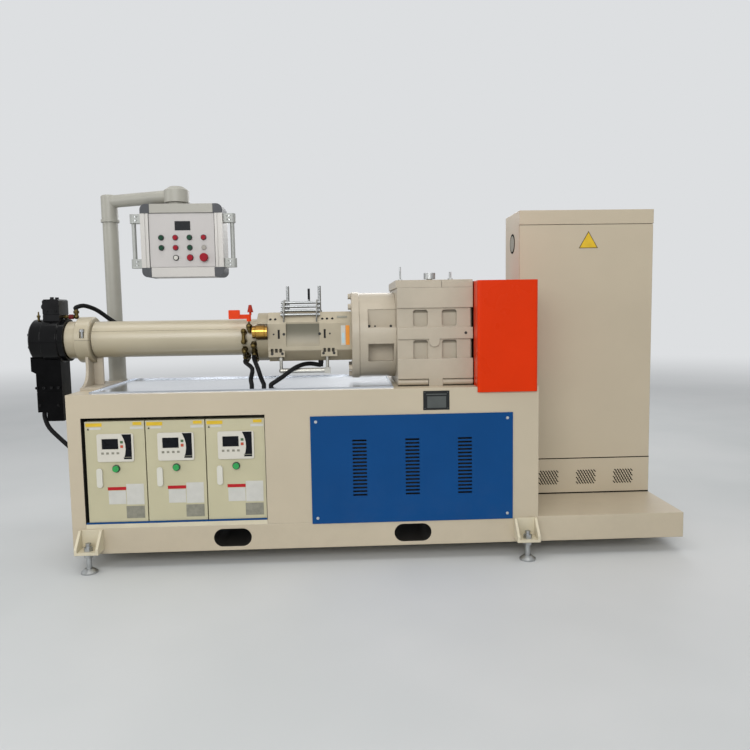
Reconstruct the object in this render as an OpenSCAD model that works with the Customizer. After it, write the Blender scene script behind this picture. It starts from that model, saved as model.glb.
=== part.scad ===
// Cold feed extruder on a box frame, with its head, gearbox, cabinet and operator panel.
// X runs along the machine from head to cabinet, Y from front to back, Z up from the floor.
// The screw axis lies in the plane Y = 0 and the origin is the middle of the footprint, on the floor.

/* [Base] */
// Length of the tall base box
base_len = 2180; // [2000:10:2400]
// Depth of the base, front to back
base_depth = 700; // [660:10:820]
// Height from the underside of the chassis to the top of the base
base_height = 745; // [720:5:860]
// Clear height under the chassis
floor_gap = 70; // [60:5:110]
// Height of the chassis frame
chassis_height = 120; // [110:5:140]

/* [Fork pockets] */
// Length of one oval fork pocket
pocket_len = 175; // [140:5:200]
// Height of one oval fork pocket
pocket_height = 85; // [60:5:95]
// Middle of the first pocket from the left end
pocket_x = 736; // [660:2:800]
// Distance between the two pockets
pocket_pitch = 846; // [700:2:900]

/* [Feet] */
// Middle of the first foot bracket from the left end
foot_x = 86; // [70:2:140]
// Distance between the left and right brackets
foot_pitch = 2031; // [1800:1:2044]
// Width of a foot bracket
foot_width = 108; // [90:2:130]
// How far a bracket stands out of the base
foot_reach = 80; // [60:2:100]
// Thickness of the bracket plates
foot_plate = 12; // [8:1:16]
// Diameter of a levelling screw
screw_d = 24; // [16:1:30]
// Diameter of a foot pad
pad_d = 75; // [60:1:90]
// Height of a foot pad
pad_height = 22; // [14:1:30]

/* [Temperature units] */
// Number of units side by side
unit_count = 3; // [2:1:3]
// Width of one unit
unit_width = 270; // [250:1:272]
// Height of one unit
unit_height = 472; // [400:2:480]
// Depth of one unit
unit_depth = 500; // [400:10:540]
// Gap between two units
unit_gap = 5; // [3:1:8]
// Left edge of the recess from the left end
recess_x = 63; // [50:1:80]
// Clearance beside the first unit
recess_clear = 14; // [6:1:16]
// Clearance above the units
recess_top = 17; // [10:1:30]
// Height of the sill under the units
sill_height = 20; // [14:1:30]
// Height of the shadow gap between sill and units
sill_gap = 8; // [5:1:12]

/* [Louvre panel] */
// Left edge of the panel from the left end
louvre_x = 1109; // [1000:1:1150]
// Width of the panel
louvre_width = 948; // [860:2:980]
// Height of the panel
louvre_height = 509; // [460:1:520]
// Thickness of the panel
louvre_thick = 4; // [3:1:6]
// Slots in one column
slot_rows = 16; // [8:1:16]
// Length of one slot
slot_len = 66; // [50:2:80]
// Height of one slot
slot_height = 9; // [6:1:12]
// Distance between slots
slot_pitch = 17.2; // [16:0.2:20]
// Distance between the columns of slots
slot_columns_pitch = 247; // [200:1:260]

/* [Barrel] */
// Height of the screw axis over the top of the base
axis_height = 240; // [230:1:270]
// Outside diameter of the barrel jacket
jacket_d = 180; // [150:2:190]
// Length of the jacket from the left end of the base
jacket_len = 760; // [700:2:800]
// Outside diameter of the split clamp
clamp_d = 228; // [210:2:240]
// Width of the split clamp
clamp_len = 74; // [70:2:84]
// How far the clamp stands out over the left end of the base
clamp_out = 44; // [36:2:56]
// Outside diameter of the barrel nose
nose_d = 186; // [160:2:190]
// Length of the barrel nose in front of the clamp
nose_len = 54; // [44:2:80]
// Thickness of the support plate
support_thick = 14; // [12:1:24]
// Width of the support plate under the barrel
support_width = 160; // [120:5:200]
// Diameter of the neck flange at the feed end
neck_d = 240; // [200:2:240]
// Length of the neck flange
neck_len = 54; // [40:2:60]
// Length of the fitting zone between jacket and neck
fitting_zone = 86; // [80:2:100]

/* [Crosshead] */
// Width of the head's blocks, front to back
head_width = 116; // [100:2:140]
// Height of the upper block over the screw axis
head_rise = 203; // [180:1:230]
// Thickness of the upper block along the machine
head_thick = 80; // [60:2:80]
// Diameter of the collar against the barrel
collar_d = 210; // [180:2:212]
// Length of the collar
collar_len = 27; // [20:1:34]
// Diameter of the drum
drum_d = 224; // [214:2:240]
// Length of the drum
drum_len = 83; // [80:1:110]
// Diameter of the drum's front part
die_d = 210; // [180:2:212]
// Length of the drum's front part
die_len = 57; // [40:1:80]
// Drop of the lower body under the screw axis
head_drop = 400; // [340:5:440]

/* [Feed housing] */
// Length of the feed housing
feed_len = 412; // [400:2:460]
// Size across the flats of the feed housing
feed_size = 242; // [220:2:250]
// Flat part of each side
feed_flat = 130; // [100:2:150]
// Diameter of the guide bars over the feed opening
bar_d = 12; // [8:1:16]
// Height of the guide posts over the housing
post_height = 130; // [100:2:160]

/* [Gearbox] */
// Diameter of the bell's flange
bell_d = 434; // [410:2:440]
// Length of the bell with its flange
bell_len = 215; // [200:1:240]
// Thickness of the bell's flange
bell_flange = 38; // [24:1:45]
// Length of the gearbox housing
gear_len = 359; // [330:1:380]
// Depth of the gearbox housing
gear_depth = 530; // [500:5:560]
// Height of the gearbox over the top of the base, without its cover
gear_height = 466; // [450:1:500]
// Height of the gearbox cover
cover_height = 37; // [25:1:45]
// Depth of the recessed bands on the housing sides
band_depth = 10; // [6:1:20]
// Depth of the pockets in the bands
pocket_depth = 20; // [10:1:30]

/* [Drive guard] */
// Length of the guard along the machine
guard_len = 282; // [260:1:282]
// Height of the guard
guard_height = 518; // [480:1:540]
// How far the guard stands proud of the base
guard_proud = 12; // [6:1:20]
// How far the guard reaches down in front of the base
guard_lap = 24; // [15:1:40]
// Depth of the guard
guard_depth = 600; // [500:5:650]
// Radius of the guard's edges
guard_round = 14; // [6:1:20]
// Gap between the gearbox and the guard
guard_gap = 4; // [2:1:8]

/* [Electrical cabinet] */
// Gap between the base and the cabinet
cabinet_gap = 5; // [3:1:12]
// Width of the cabinet
cabinet_width = 700; // [600:5:700]
// Depth of the cabinet
cabinet_depth = 310; // [280:5:340]
// Height of the cabinet's plinth
plinth_height = 190; // [100:5:200]
// Height of the cabinet door
door_height = 1225; // [1100:5:1300]
// Height of the header over the door
header_height = 72; // [50:2:90]

/* [Operator panel] */
// Diameter of the column
column_d = 79; // [60:1:84]
// Diameter of the sleeve round the column's foot
sleeve_d = 90; // [86:1:100]
// Height of the sleeve
sleeve_height = 240; // [160:5:300]
// Height of the arm's axis over the top of the base
arm_height = 966; // [900:2:1000]
// Diameter of the arm's tube
arm_d = 66; // [50:1:70]
// Distance from the column to the panel's swivel
arm_reach = 433; // [380:1:520]
// Angle of the arm at rest, towards the front
arm_angle = 23; // [0:1:40]
// Width of the operator panel
panel_width = 412; // [360:2:440]
// Height of the operator panel
panel_height = 366; // [320:2:400]
// Depth of the operator panel
panel_depth = 150; // [120:2:180]
// Running clearance of the two swivels
swivel_gap = 0.4; // [0.3:0.1:0.8]

/* [Hidden] */
$fn = 48;

// Colours, as painted
cream = [0.80, 0.77, 0.70];
grey = [0.62, 0.63, 0.62];
orange = [0.86, 0.26, 0.05];
blue = [0.07, 0.29, 0.52];
black = [0.05, 0.05, 0.06];
steel = [0.75, 0.76, 0.78];
brass = [0.72, 0.55, 0.25];
red = [0.75, 0.08, 0.08];

// Small features follow the size of the piece they belong to
kb = jacket_d / 180;
ka = axis_height / 240;
kh = head_rise / 203;
kf = feed_size / 242;
kg = gear_depth / 530;
kc = column_d / 79;
kp = panel_width / 412;
ku = unit_width / 270;
kt = foot_width / 116;

// Places along the machine
lip_len = 10 * kh;
train_len = jacket_len + fitting_zone + neck_len + feed_len + bell_len + gear_len + guard_gap + guard_len;
cabinet_from = max(base_len, train_len) + cabinet_gap;
chassis_len = cabinet_from + cabinet_width;
head_reach = clamp_out + nose_len + collar_len + drum_len + die_len + lip_len;
left_x = -(chassis_len - head_reach) / 2;
head_x = left_x - clamp_out - nose_len;
tip_x = left_x - head_reach;
end_x = left_x + chassis_len;
front_y = -base_depth / 2;
back_y = base_depth / 2;
deck_z = floor_gap + chassis_height;
top_z = floor_gap + base_height;
axis_z = top_z + axis_height;
clamp_x = left_x - clamp_out;
jacket_x = clamp_x + clamp_len;
fit_x = left_x + jacket_len;
neck_x = fit_x + fitting_zone;
feed_x = neck_x + neck_len;
bell_x = feed_x + feed_len;
gear_x = bell_x + bell_len;
guard_x = gear_x + gear_len + guard_gap;
cabinet_x = left_x + cabinet_from;
cabinet_y = back_y - cabinet_depth;

// Fits
fit = 0.3;
lap = 0.5;

// Recess for the units
recess_w = recess_clear + unit_count * unit_width + (unit_count - 1) * unit_gap + 3;
recess_h = sill_height + sill_gap + unit_height + recess_top;
recess_d = unit_depth + 20;
unit_y = front_y + 8;
unit_z = deck_z + sill_height + sill_gap;

// Louvre panel
louvre_z = deck_z - 5;
louvre_cavity = 60;

// A rectangle with round corners, from its lower left corner
module round_rect(w, h, r) {
    translate([r, 0]) square([w - 2 * r, h]);
    translate([0, r]) square([w, h - 2 * r]);
    for (x = [r, w - r])
        for (y = [r, h - r])
            translate([x, y]) circle(r);
}

// A block whose face of round corners looks to the front
module front_block(x, y, z, w, d, h, r) {
    translate([x, y + d, z]) rotate([90, 0, 0]) linear_extrude(d) round_rect(w, h, r);
}

// A cylinder along X, Y or Z from a start point
module bar_x(x, y, z, len, d) {
    translate([x, y, z]) rotate([0, 90, 0]) cylinder(h = len, d = d);
}

module bar_y(x, y, z, len, d) {
    translate([x, y, z]) rotate([-90, 0, 0]) cylinder(h = len, d = d);
}

module bar_z(x, y, z, len, d) {
    translate([x, y, z]) cylinder(h = len, d = d);
}

// The chassis with its two fork pockets
module fork_pocket(x) {
    translate([x, back_y + 1, floor_gap + chassis_height / 2])
        rotate([90, 0, 0]) linear_extrude(base_depth + 2) {
            square([pocket_len - pocket_height, pocket_height], center = true);
            for (s = [-1, 1])
                translate([s * (pocket_len - pocket_height) / 2, 0]) circle(d = pocket_height);
        }
}

module chassis() {
    color(cream) difference() {
        translate([left_x, front_y, floor_gap]) cube([chassis_len, base_depth, chassis_height]);
        fork_pocket(left_x + pocket_x);
        fork_pocket(left_x + pocket_x + pocket_pitch);
    }
}

// The tall base box with its recess and the opening behind the louvres
module base_frame() {
    color(cream) difference() {
        translate([left_x, front_y, deck_z]) cube([base_len, base_depth, top_z - deck_z]);
        translate([left_x + recess_x, front_y - 1, deck_z - 1])
            cube([recess_w, recess_d + 1, recess_h + 1]);
        translate([left_x + louvre_x + 30, front_y - 1, louvre_z + 40])
            cube([louvre_width - 60, louvre_cavity + 1, louvre_height - 80]);
    }
}

// Feet: welded brackets and levelling screws, on the front and on the back
module at_feet() {
    for (x = [foot_x, foot_x + foot_pitch])
        for (s = [-1, 1])
            translate([left_x + x, s * base_depth / 2, 0]) rotate([0, 0, s < 0 ? 0 : 180])
                children();
}

module foot_bracket() {
    seat_z = floor_gap + 22 * kt;
    r = foot_reach;
    difference() {
        translate([-foot_width / 2, -r, seat_z]) cube([foot_width, r, foot_plate]);
        bar_z(0, -r * 0.6, seat_z - 1, foot_plate + 2, screw_d + 1);
    }
    translate([-foot_width / 2, -foot_plate / 2, seat_z]) cube([foot_width, foot_plate / 2, r * 1.2]);
    for (x = [-foot_width / 2, foot_width / 2 - foot_plate])
        translate([x, 0, seat_z + foot_plate]) rotate([90, 0, 90]) linear_extrude(foot_plate)
            polygon([[0, 0], [-r, 0], [-r, r * 0.18], [-r * 0.2, r * 1.05], [0, r * 1.05]]);
}

module foot_brackets() {
    color(cream) at_feet() foot_bracket();
}

module levelling_feet() {
    seat_z = floor_gap + 22 * kt;
    nut = screw_d * 0.75;
    color(steel) at_feet() translate([0, -foot_reach * 0.6, 0]) {
        cylinder(h = pad_height * 0.36, d = pad_d);
        translate([0, 0, pad_height * 0.36])
            cylinder(h = pad_height * 0.64, d1 = pad_d, d2 = screw_d * 1.6);
        cylinder(h = seat_z + foot_plate + nut * 2, d = screw_d);
        translate([0, 0, seat_z - nut]) cylinder(h = nut - fit, d = screw_d * 1.7, $fn = 6);
        translate([0, 0, seat_z + foot_plate + fit]) cylinder(h = nut, d = screw_d * 1.7, $fn = 6);
    }
}

// Stainless tray on the base between the support and the gearbox
tray_height = base_height / 75;
tray_floor = 2;

module drip_tray() {
    x0 = left_x + support_foot + 4;
    w = gear_x - 27 - x0;
    y0 = front_y + 26;
    d = base_depth - 40;
    color(steel) difference() {
        translate([x0, y0, top_z]) cube([w, d, tray_height]);
        translate([x0 + 2, y0 + 2, top_z + tray_floor]) cube([w - 4, d - 4, tray_height]);
    }
}

module louvre_panel() {
    slots_h = (slot_rows - 1) * slot_pitch;
    mid_x = left_x + louvre_x + louvre_width / 2;
    slot_z = louvre_z + (louvre_height - slots_h) / 2 + 8;
    y = front_y - louvre_thick - fit;
    color(blue) difference() {
        translate([left_x + louvre_x, y, louvre_z]) cube([louvre_width, louvre_thick, louvre_height]);
        for (c = [-1, 0, 1])
            for (r = [0 : slot_rows - 1])
                translate([mid_x + c * slot_columns_pitch - slot_len / 2, y - 1,
                    slot_z + r * slot_pitch - slot_height / 2])
                    cube([slot_len, louvre_thick + 2, slot_height]);
    }
}

module unit_sill() {
    color(cream) translate([left_x + recess_x + lap, front_y, deck_z])
        cube([recess_w - 2 * lap, recess_d - lap, sill_height]);
}

// One temperature unit: a sheet metal case on a plinth that stands back
function unit_x(i) = left_x + recess_x + recess_clear + (i - 1) * (unit_width + unit_gap);

module temp_unit(i) {
    color(cream) {
        translate([unit_x(i), unit_y, unit_z]) cube([unit_width, unit_depth, unit_height]);
        translate([unit_x(i) + 10, unit_y + 20, unit_z - sill_gap])
            cube([unit_width - 20, unit_depth - 30, sill_gap + 1]);
    }
}

module temp_unit_1() { temp_unit(1); }
module temp_unit_2() { temp_unit(2); }
module temp_unit_3() { temp_unit(3); }

// Controllers: a white bezel on each unit
bezel_w = 166 * ku;
bezel_h = 130 * ku;
bezel_x = 54 * ku;
bezel_z = 285 * ku;

module unit_controllers() {
    color("white") for (i = [1 : unit_count]) difference() {
        front_block(unit_x(i) + bezel_x, unit_y - 8, unit_z + bezel_z, bezel_w, 8 - fit, bezel_h, 10);
        front_block(unit_x(i) + bezel_x + 21 * ku, unit_y - 9, unit_z + bezel_z + 58 * ku, 76 * ku, 3,
            49 * ku, 2);
    }
}

// Sight tube and lamp under each controller
module unit_gauges() {
    for (i = [1 : unit_count]) {
        color("white") front_block(unit_x(i) + 46 * ku, unit_y - 10, unit_z + 165 * ku, 26 * ku,
            10 - fit, 90 * ku, 12 * ku);
        color("green") bar_y(unit_x(i) + 135 * ku, unit_y - 4, unit_z + 252 * ku, 4 - fit, 36 * ku);
        color("green") bar_y(unit_x(i) + 135 * ku, unit_y - 16, unit_z + 252 * ku, 16 - fit, 28 * ku);
    }
}

// Barrel and what it carries
groove = jacket_d / 30;

module barrel_jacket() {
    color(cream) difference() {
        bar_x(jacket_x + groove + fit, 0, axis_z, neck_x - jacket_x - groove - 2 * fit, jacket_d);
        for (s = [-1, 1])
            translate([jacket_x - 1, s * jacket_d * 0.45 - 3, axis_z + jacket_d * 0.22])
                cube([fit_x - jacket_x - 12, 6, 3]);
    }
}

module barrel_nose() {
    r = nose_d / 2;
    n = nose_len + clamp_len;
    color(cream) translate([head_x, 0, axis_z]) rotate([0, 90, 0]) rotate_extrude()
        polygon([[0, fit], [r - 5, fit], [r, 5], [r, n], [r * 0.84, n], [r * 0.84, n + groove],
            [0, n + groove]]);
}

// Two half rings, bolted together at the level of the axis
module barrel_clamp() {
    r = clamp_d / 2;
    in = nose_d / 2 + fit;
    color(cream) difference() {
        translate([clamp_x, 0, axis_z]) rotate([0, 90, 0]) rotate_extrude()
            polygon([[in, 0], [r - 5, 0], [r, 5], [r, clamp_len - 5], [r - 5, clamp_len], [in, clamp_len]]);
        translate([clamp_x - 1, -clamp_d, axis_z - 0.6]) cube([clamp_len + 2, 2 * clamp_d, 1.2]);
        for (s = [-1, 1])
            translate([clamp_x + clamp_len * 0.42, s * (r - 3) - 14 * kb, axis_z + 11 * kb])
                cube([clamp_len * 0.33, 28 * kb, 45 * kb]);
        for (s = [-1, 1])
            translate([clamp_x - 1, s * (r - 1) - 2, axis_z + 62 * kb]) cube([clamp_len + 2, 4, 3]);
    }
}

// A plate across the machine that flares into its foot, with a web behind it
support_foot = 95 * ka;

module barrel_support() {
    half = support_width / 2;
    foot_half = support_width * 1.06;
    flare = 90 * ka;
    base = 14 * ka;
    color(cream) difference() {
        union() {
            translate([left_x, 0, top_z]) rotate([90, 0, 90]) linear_extrude(support_thick) difference() {
                translate([-foot_half, 0]) square([2 * foot_half, axis_height]);
                for (s = [-1, 1]) {
                    translate([s * (half + flare), base + flare]) circle(r = flare);
                    translate([s > 0 ? half : -half - flare * 2, base + flare])
                        square([flare * 2, axis_height]);
                    translate([s > 0 ? half + flare : -half - flare * 2, base])
                        square([flare, axis_height]);
                }
            }
            translate([left_x, -foot_half, top_z]) cube([support_foot, 2 * foot_half, base]);
            translate([left_x, -base / 2, top_z]) linear_extrude(axis_height - jacket_d * 0.45)
                square([support_foot * 0.62, base]);
        }
        bar_x(left_x - 1, 0, axis_z, jacket_x - left_x + fit + 1, clamp_d + 2 * fit);
        bar_x(left_x - 1, 0, axis_z, support_foot + 2, jacket_d + 2 * fit);
    }
}

module neck_flange() {
    color(cream) difference() {
        bar_x(neck_x, 0, axis_z, neck_len, neck_d);
        translate([neck_x - 1, -neck_d, sleeve_z - sleeve_w / 2 - 3])
            cube([neck_len + 2, neck_d - jacket_d / 2, sleeve_w + 6]);
    }
}

// Two rings of elbows round the barrel, joined two and two by short tubes
elbow_x = left_x - clamp_out - 18 * kb;
ring_r = jacket_d / 2 + 26 * kb;
ring_1 = [-106, -80, -54, -30, -4, 22, 48];
ring_2 = [-70, -44, -18, 8, 34, 60];
fitting_d = 27 * kb;

function ring_at(x, a) = [x, ring_r * sin(a), axis_z - ring_r * cos(a)];

module elbow(x, a) {
    translate([x, 0, axis_z]) rotate([a, 0, 0]) translate([0, 0, -ring_r]) {
        cylinder(h = ring_r - jacket_d / 2 - fit, d = 20 * kb);
        translate([0, 0, 10 * kb]) cylinder(h = 14 * kb, d = 32 * kb, $fn = 6);
        sphere(d = fitting_d);
    }
}

module rod(p, q, d) {
    v = q - p;
    translate(p) rotate([-atan2(v[1], v[2]), 0, 0]) cylinder(h = norm(v), d = d);
}

module water_fittings() {
    b = jacket_d / 2;
    color(brass) {
        for (c = [[fit_x + 21 * kb, ring_1], [fit_x + 67 * kb, ring_2]]) {
            for (a = c[1]) elbow(c[0], a);
            for (i = [0 : 2 : len(c[1]) - 2])
                rod(ring_at(c[0], c[1][i]), ring_at(c[0], c[1][i + 1]), 18 * kb);
        }
        // Union from the head's upper block, with its elbow
        bar_x(head_x - 25 * kh + fit, 0, union_z, elbow_x - head_x + 25 * kh - fit, 16 * kb);
        translate([head_x - 25 * kh + fit, 0, union_z]) rotate([0, 90, 0])
            cylinder(h = 14 * kb, d = 20 * kb, $fn = 6);
        translate([elbow_x, 0, union_z]) sphere(d = 25 * kb);
        bar_z(elbow_x, 0, union_z, 36 * kb, 19 * kb);
        translate([elbow_x, 0, union_z + 16 * kb]) cylinder(h = 14 * kb, d = 29 * kb, $fn = 6);
        bar_y(fit_x + 21 * kb, b + fit, axis_z, 26 * kb, 18 * kb);
    }
}

union_z = axis_z + 116 * kb;

// Brass union in the notch of the neck flange, screwed to the feed housing
sleeve_w = 70 * kb;
sleeve_len = 72 * kb;
sleeve_z = axis_z + 27 * kb;
sleeve_y = -(jacket_d + sleeve_w) / 2 - fit;

module water_sleeve() {
    r = sleeve_w / 2;
    n = sleeve_len;
    color(brass) translate([feed_x - fit - n, sleeve_y, sleeve_z]) rotate([0, 90, 0]) rotate_extrude()
        polygon([[0, 3], [r * 0.6, 3], [r * 0.6, 0], [r - 4, 0], [r - 4, n * 0.2], [r, n * 0.2 + 3],
            [r, n * 0.8], [r - 4, n * 0.8 + 3], [r - 4, n], [0, n]]);
}

// Ball valve between the two rings, on its own stub
valve_x = fit_x + 49 * kb;
valve_y = -jacket_d / 2 - 18 * kb;
valve_top = axis_z + 80 * kb;

module water_valve() {
    low = axis_z + 34 * kb;
    r = 8 * kb;
    stub_end = sqrt(pow(jacket_d / 2, 2) - pow(34 * kb - r, 2)) + fit;
    color(brass) {
        bar_z(valve_x, valve_y, low - 10 * kb, 40 * kb, 2 * r);
        bar_y(valve_x, valve_y, low, -valve_y - stub_end, 2 * r);
        translate([valve_x, valve_y, low + 22 * kb]) sphere(d = 30 * kb);
        translate([valve_x, valve_y, low + 4 * kb]) cylinder(h = 10 * kb, d = 26 * kb, $fn = 6);
        bar_z(valve_x, valve_y, low + 22 * kb, valve_top - low - 22 * kb - fit, 9 * kb);
    }
}

// Its handle: hub, bent arm and a flat grip
module valve_lever() {
    t = 18 * kb;
    color(orange) {
        bar_z(valve_x, valve_y, valve_top, 34 * kb, 22 * kb);
        translate([valve_x - 46 * kb, valve_y - t / 4, valve_top + 12 * kb])
            cube([50 * kb, t / 2, 22 * kb]);
        translate([valve_x - 97 * kb, valve_y + t / 2, valve_top + 12 * kb]) rotate([90, 0, 0])
            linear_extrude(t)
            round_rect(54 * kb, 44 * kb, 4 * kb);
        translate([valve_x + 8 * kb, valve_y, valve_top + 30 * kb]) cylinder(h = 16 * kb, d = 12 * kb);
        translate([valve_x + 8 * kb, valve_y, valve_top + 44 * kb])
            cylinder(h = 36 * kb, d1 = 30 * kb, d2 = 14 * kb);
    }
}

// Octagonal housing with a scooped front
module octagon(size, flat) {
    h = size / 2;
    f = flat / 2;
    polygon([[h, f], [f, h], [-f, h], [-h, f], [-h, -f], [-f, -h], [f, -h], [h, -f]]);
}

lug_z = axis_z - feed_size / 2 + 23 * kf;
lug_height = 40 * kf;

module feed_housing() {
    h = feed_size / 2;
    scoop_x = feed_x + feed_len * 0.216;
    scoop_len = feed_len * 0.398;
    lug = 80 * kf;
    color(cream) difference() {
        union() {
            translate([feed_x, 0, axis_z]) rotate([90, 0, 90]) linear_extrude(feed_len)
                octagon(feed_size, feed_flat);
            // Lugs on the lower slopes
            for (s = [-1, 1])
                for (x = [0.002, 0.628])
                    translate([feed_x + feed_len * x, s * (h - 25 * kf) - 22 * kf, lug_z])
                        cube([lug, 44 * kf, lug_height]);
            // Raised frame round the opening
            translate([scoop_x + 18 * kf, -feed_flat * 0.44, axis_z + h - 1])
                cube([scoop_len - 36 * kf, feed_flat * 0.88, 5 * kf]);
        }
        // Scoops in the front and in the back
        for (s = [-1, 1])
            bar_x(scoop_x, s * (h + 150 * kf), axis_z + 20 * kf, scoop_len, 330 * kf);
        // Opening for the strip
        translate([scoop_x + 26 * kf, -feed_flat * 0.36, axis_z + h * 0.3])
            cube([scoop_len - 52 * kf, feed_flat * 0.72, feed_size]);
        // Keyways beside the scoop
        for (s = [-1, 1])
            for (x = [0.131, 0.677])
                translate([feed_x + feed_len * x - 5 * kf, s * h - 12 * kf, axis_z - 8 * kf])
                    cube([10 * kf, 24 * kf, 44 * kf]);
        // Notches in the upper edge of each lug
        for (s = [-1, 1])
            for (x = [0.002, 0.628])
                for (i = [0 : 2])
                    translate([feed_x + feed_len * x + (12 + i * 21) * kf, s * (h + 2) - 20 * kf,
                        lug_z + lug_height - 18 * kf])
                        cube([13 * kf, 40 * kf, 19 * kf]);
    }
}

// Guide for the strip: two cheeks on each slope carry four bars
guide_x1 = feed_x + feed_len * 0.185;
guide_x2 = feed_x + feed_len * 0.575;
cheek = 6 * kf;
guide_rows = [for (i = [0 : 3]) [-(90 - i * 16) * kf, (109 + i * 20) * kf]];

module guide_brackets() {
    color(steel) for (s = [-1, 1])
        for (x = [guide_x1, guide_x2])
            translate([x, 0, axis_z]) rotate([90, 0, 90]) linear_extrude(cheek) difference() {
                scale([-s, 1]) polygon(kf * [[-114, 73], [-65.5, 121.8], [-46, 121.4], [-30, 170],
                    [-34, 184],
                    [-52, 182], [-106, 118], [-118, 96]]);
                for (p = guide_rows)
                    translate([-s * p[0], p[1]]) circle(d = bar_d + 2 * fit);
            }
}

module guide_bars() {
    over = 14 * kf;
    h = feed_size / 2;
    color(steel) {
        for (s = [-1, 1])
            for (p = guide_rows) {
                bar_x(guide_x1 - over, s * p[0], axis_z + p[1], guide_x2 - guide_x1 + cheek + 2 * over,
                    bar_d);
                translate([guide_x1 - fit - 8 * kf, s * p[0], axis_z + p[1]]) rotate([0, 90, 0])
                    cylinder(h = 8 * kf, d = bar_d * 1.5, $fn = 6);
                translate([guide_x2 + cheek + fit, s * p[0], axis_z + p[1]]) rotate([0, 90, 0])
                    cylinder(h = 8 * kf, d = bar_d * 1.5, $fn = 6);
            }
        // Posts: two beside the opening, one clamped on the top bar at the back
        for (x = [guide_x1 + 18 * kf, guide_x2 + cheek + 10 * kf]) {
            bar_z(x, -15 * kf, axis_z + h + fit, post_height, bar_d * 1.35);
            translate([x, -15 * kf, axis_z + h + fit]) cylinder(h = 8 * kf, d = bar_d * 1.9, $fn = 6);
        }
        bar_z(guide_x2 - 40 * kf, 42 * kf, axis_z + guide_rows[3][1] + bar_d / 2 + fit,
            post_height * 0.5, bar_d);
    }
}

// Water pipe slung under the feed housing
module cooling_pipe() {
    z = axis_z - 168 * kf;
    y = -96 * kf;
    d = 24 * kf;
    x1 = feed_x + feed_len * 0.145;
    x2 = feed_x + feed_len * 0.7;
    color(steel) {
        bar_x(x1, y, z, x2 - x1, d);
        bar_z(x1, y, z, lug_z - fit - z, d * 0.66);
        translate([x1, y, z]) sphere(d = d);
        translate([x1, y, lug_z - fit - 17 * kf]) cylinder(h = 12 * kf, d = d, $fn = 6);
        translate([x2 - d * 0.6, y - d * 0.6, z - d * 0.6]) cube([d * 1.2, d * 1.2, d * 1.2]);
        bar_z(x2, y, z, lug_z - fit - z, d * 0.66);
    }
}

// A round hose along a route: rings of flat sides, square to the route
function unit(v) = v / norm(v);
function along(p, i, route) = i == 0 ? unit(route[1] - route[0])
    : i == len(p) - 1 ? unit(route[len(route) - 1] - route[len(route) - 2])
    : unit(p[i + 1] - p[i - 1]);
function ring(p, i, r, side, route) = let (t = along(p, i, route), a = unit(cross(t, side)),
    b = cross(a, t))
    [for (k = [0 : 9]) p[i] + r * (cos(k * 36) * a + sin(k * 36) * b)];

// Points of a smooth curve through a route, three to each stretch
function spline(a, b, c, d, u) = 0.5 * (2 * b + (c - a) * u + (2 * a - 5 * b + 4 * c - d) * u * u
    + (3 * b - a - 3 * c + d) * u * u * u);
function smooth(p) = [for (i = [0 : len(p) - 2]) for (u = [0 : 2])
    spline(p[max(i - 1, 0)], p[i], p[i + 1], p[min(i + 2, len(p) - 1)], u / 3), p[len(p) - 1]];

module hose(route, d, side = [0, 1, 0]) {
    p = smooth(route);
    n = len(p);
    polyhedron(
        points = [for (i = [0 : n - 1]) each ring(p, i, d / 2, side, route)],
        faces = [[for (k = [9 : -1 : 0]) k], [for (k = [0 : 9]) (n - 1) * 10 + k],
            for (i = [0 : n - 2]) for (k = [0 : 9])
                [i * 10 + k, i * 10 + (k + 1) % 10, (i + 1) * 10 + (k + 1) % 10, (i + 1) * 10 + k]]);
}

hose_d = 22 * kb;
under_z = axis_z - feed_size / 2;

// A point by its distance from the feed housing's end, the screw axis and the height over the base
function at(x, y, z) = [feed_x + x * kf, y * kf, top_z + z * ka];

module water_hoses() {
    floor_z = tray_floor / ka + fit;
    e = ring_at(fit_x + 21 * kb, ring_1[3]);
    g = ring_at(fit_x + 67 * kb, ring_2[1]);
    down_e = [0, sin(ring_1[3]), -cos(ring_1[3])];
    down_g = [0, sin(ring_2[1]), -cos(ring_2[1])];
    nut_x = feed_x + 255 * kf;
    color(black) {
        hose([e + (fitting_d / 2 + fit) * down_e, e + 28 * kb * down_e, at(-76, -150, 90),
            at(-84, -154, 40), at(-80, -160, floor_z + 12), at(-80, -160, floor_z)], hose_d);
        hose([g + (fitting_d / 2 + fit) * down_g, g + 28 * kb * down_g, at(-48, -156, 90),
            at(-34, -158, 44), at(-22, -157, floor_z + 12), at(-22, -157, floor_z)], hose_d);
        bar_z(nut_x, -60 * kf, under_z - 31 * kf, 31 * kf - fit, 22 * kf);
        translate([nut_x, -60 * kf, under_z - 14 * kf]) cylinder(h = 14 * kf - fit, d = 26 * kf, $fn = 6);
        hose([[nut_x, -60 * kf, under_z - 24 * kf], at(238, -61, 98), at(205, -68, 104),
            at(170, -86, 102), at(135, -112, 91),
            at(100, -126, 69), at(70, -138, 47), at(35, -154, 25), at(14, -162, floor_z + 10),
            at(14, -162, floor_z)], hose_d);
    }
}

// Black crosshead: a stepped drum on the barrel, a block on top, the body below
module head_drum() {
    r = drum_d / 2;
    s = die_d / 2;
    c = collar_d / 2;
    x1 = die_len;
    x2 = x1 + drum_len;
    x3 = x2 + collar_len - fit;
    color(black) translate([tip_x + lip_len, 0, axis_z]) rotate([0, 90, 0]) rotate_extrude()
        polygon([[0, 4], [s * 0.33, 4], [s * 0.33, 12], [s * 0.6, 12], [s * 0.6, 0], [s - 7, 0], [s, 7],
            [s, x1],
            [r - 4, x1], [r, x1 + 4], [r, x2 - 4], [r - 4, x2], [c, x2], [c, x3], [0, x3]]);
}

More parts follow.
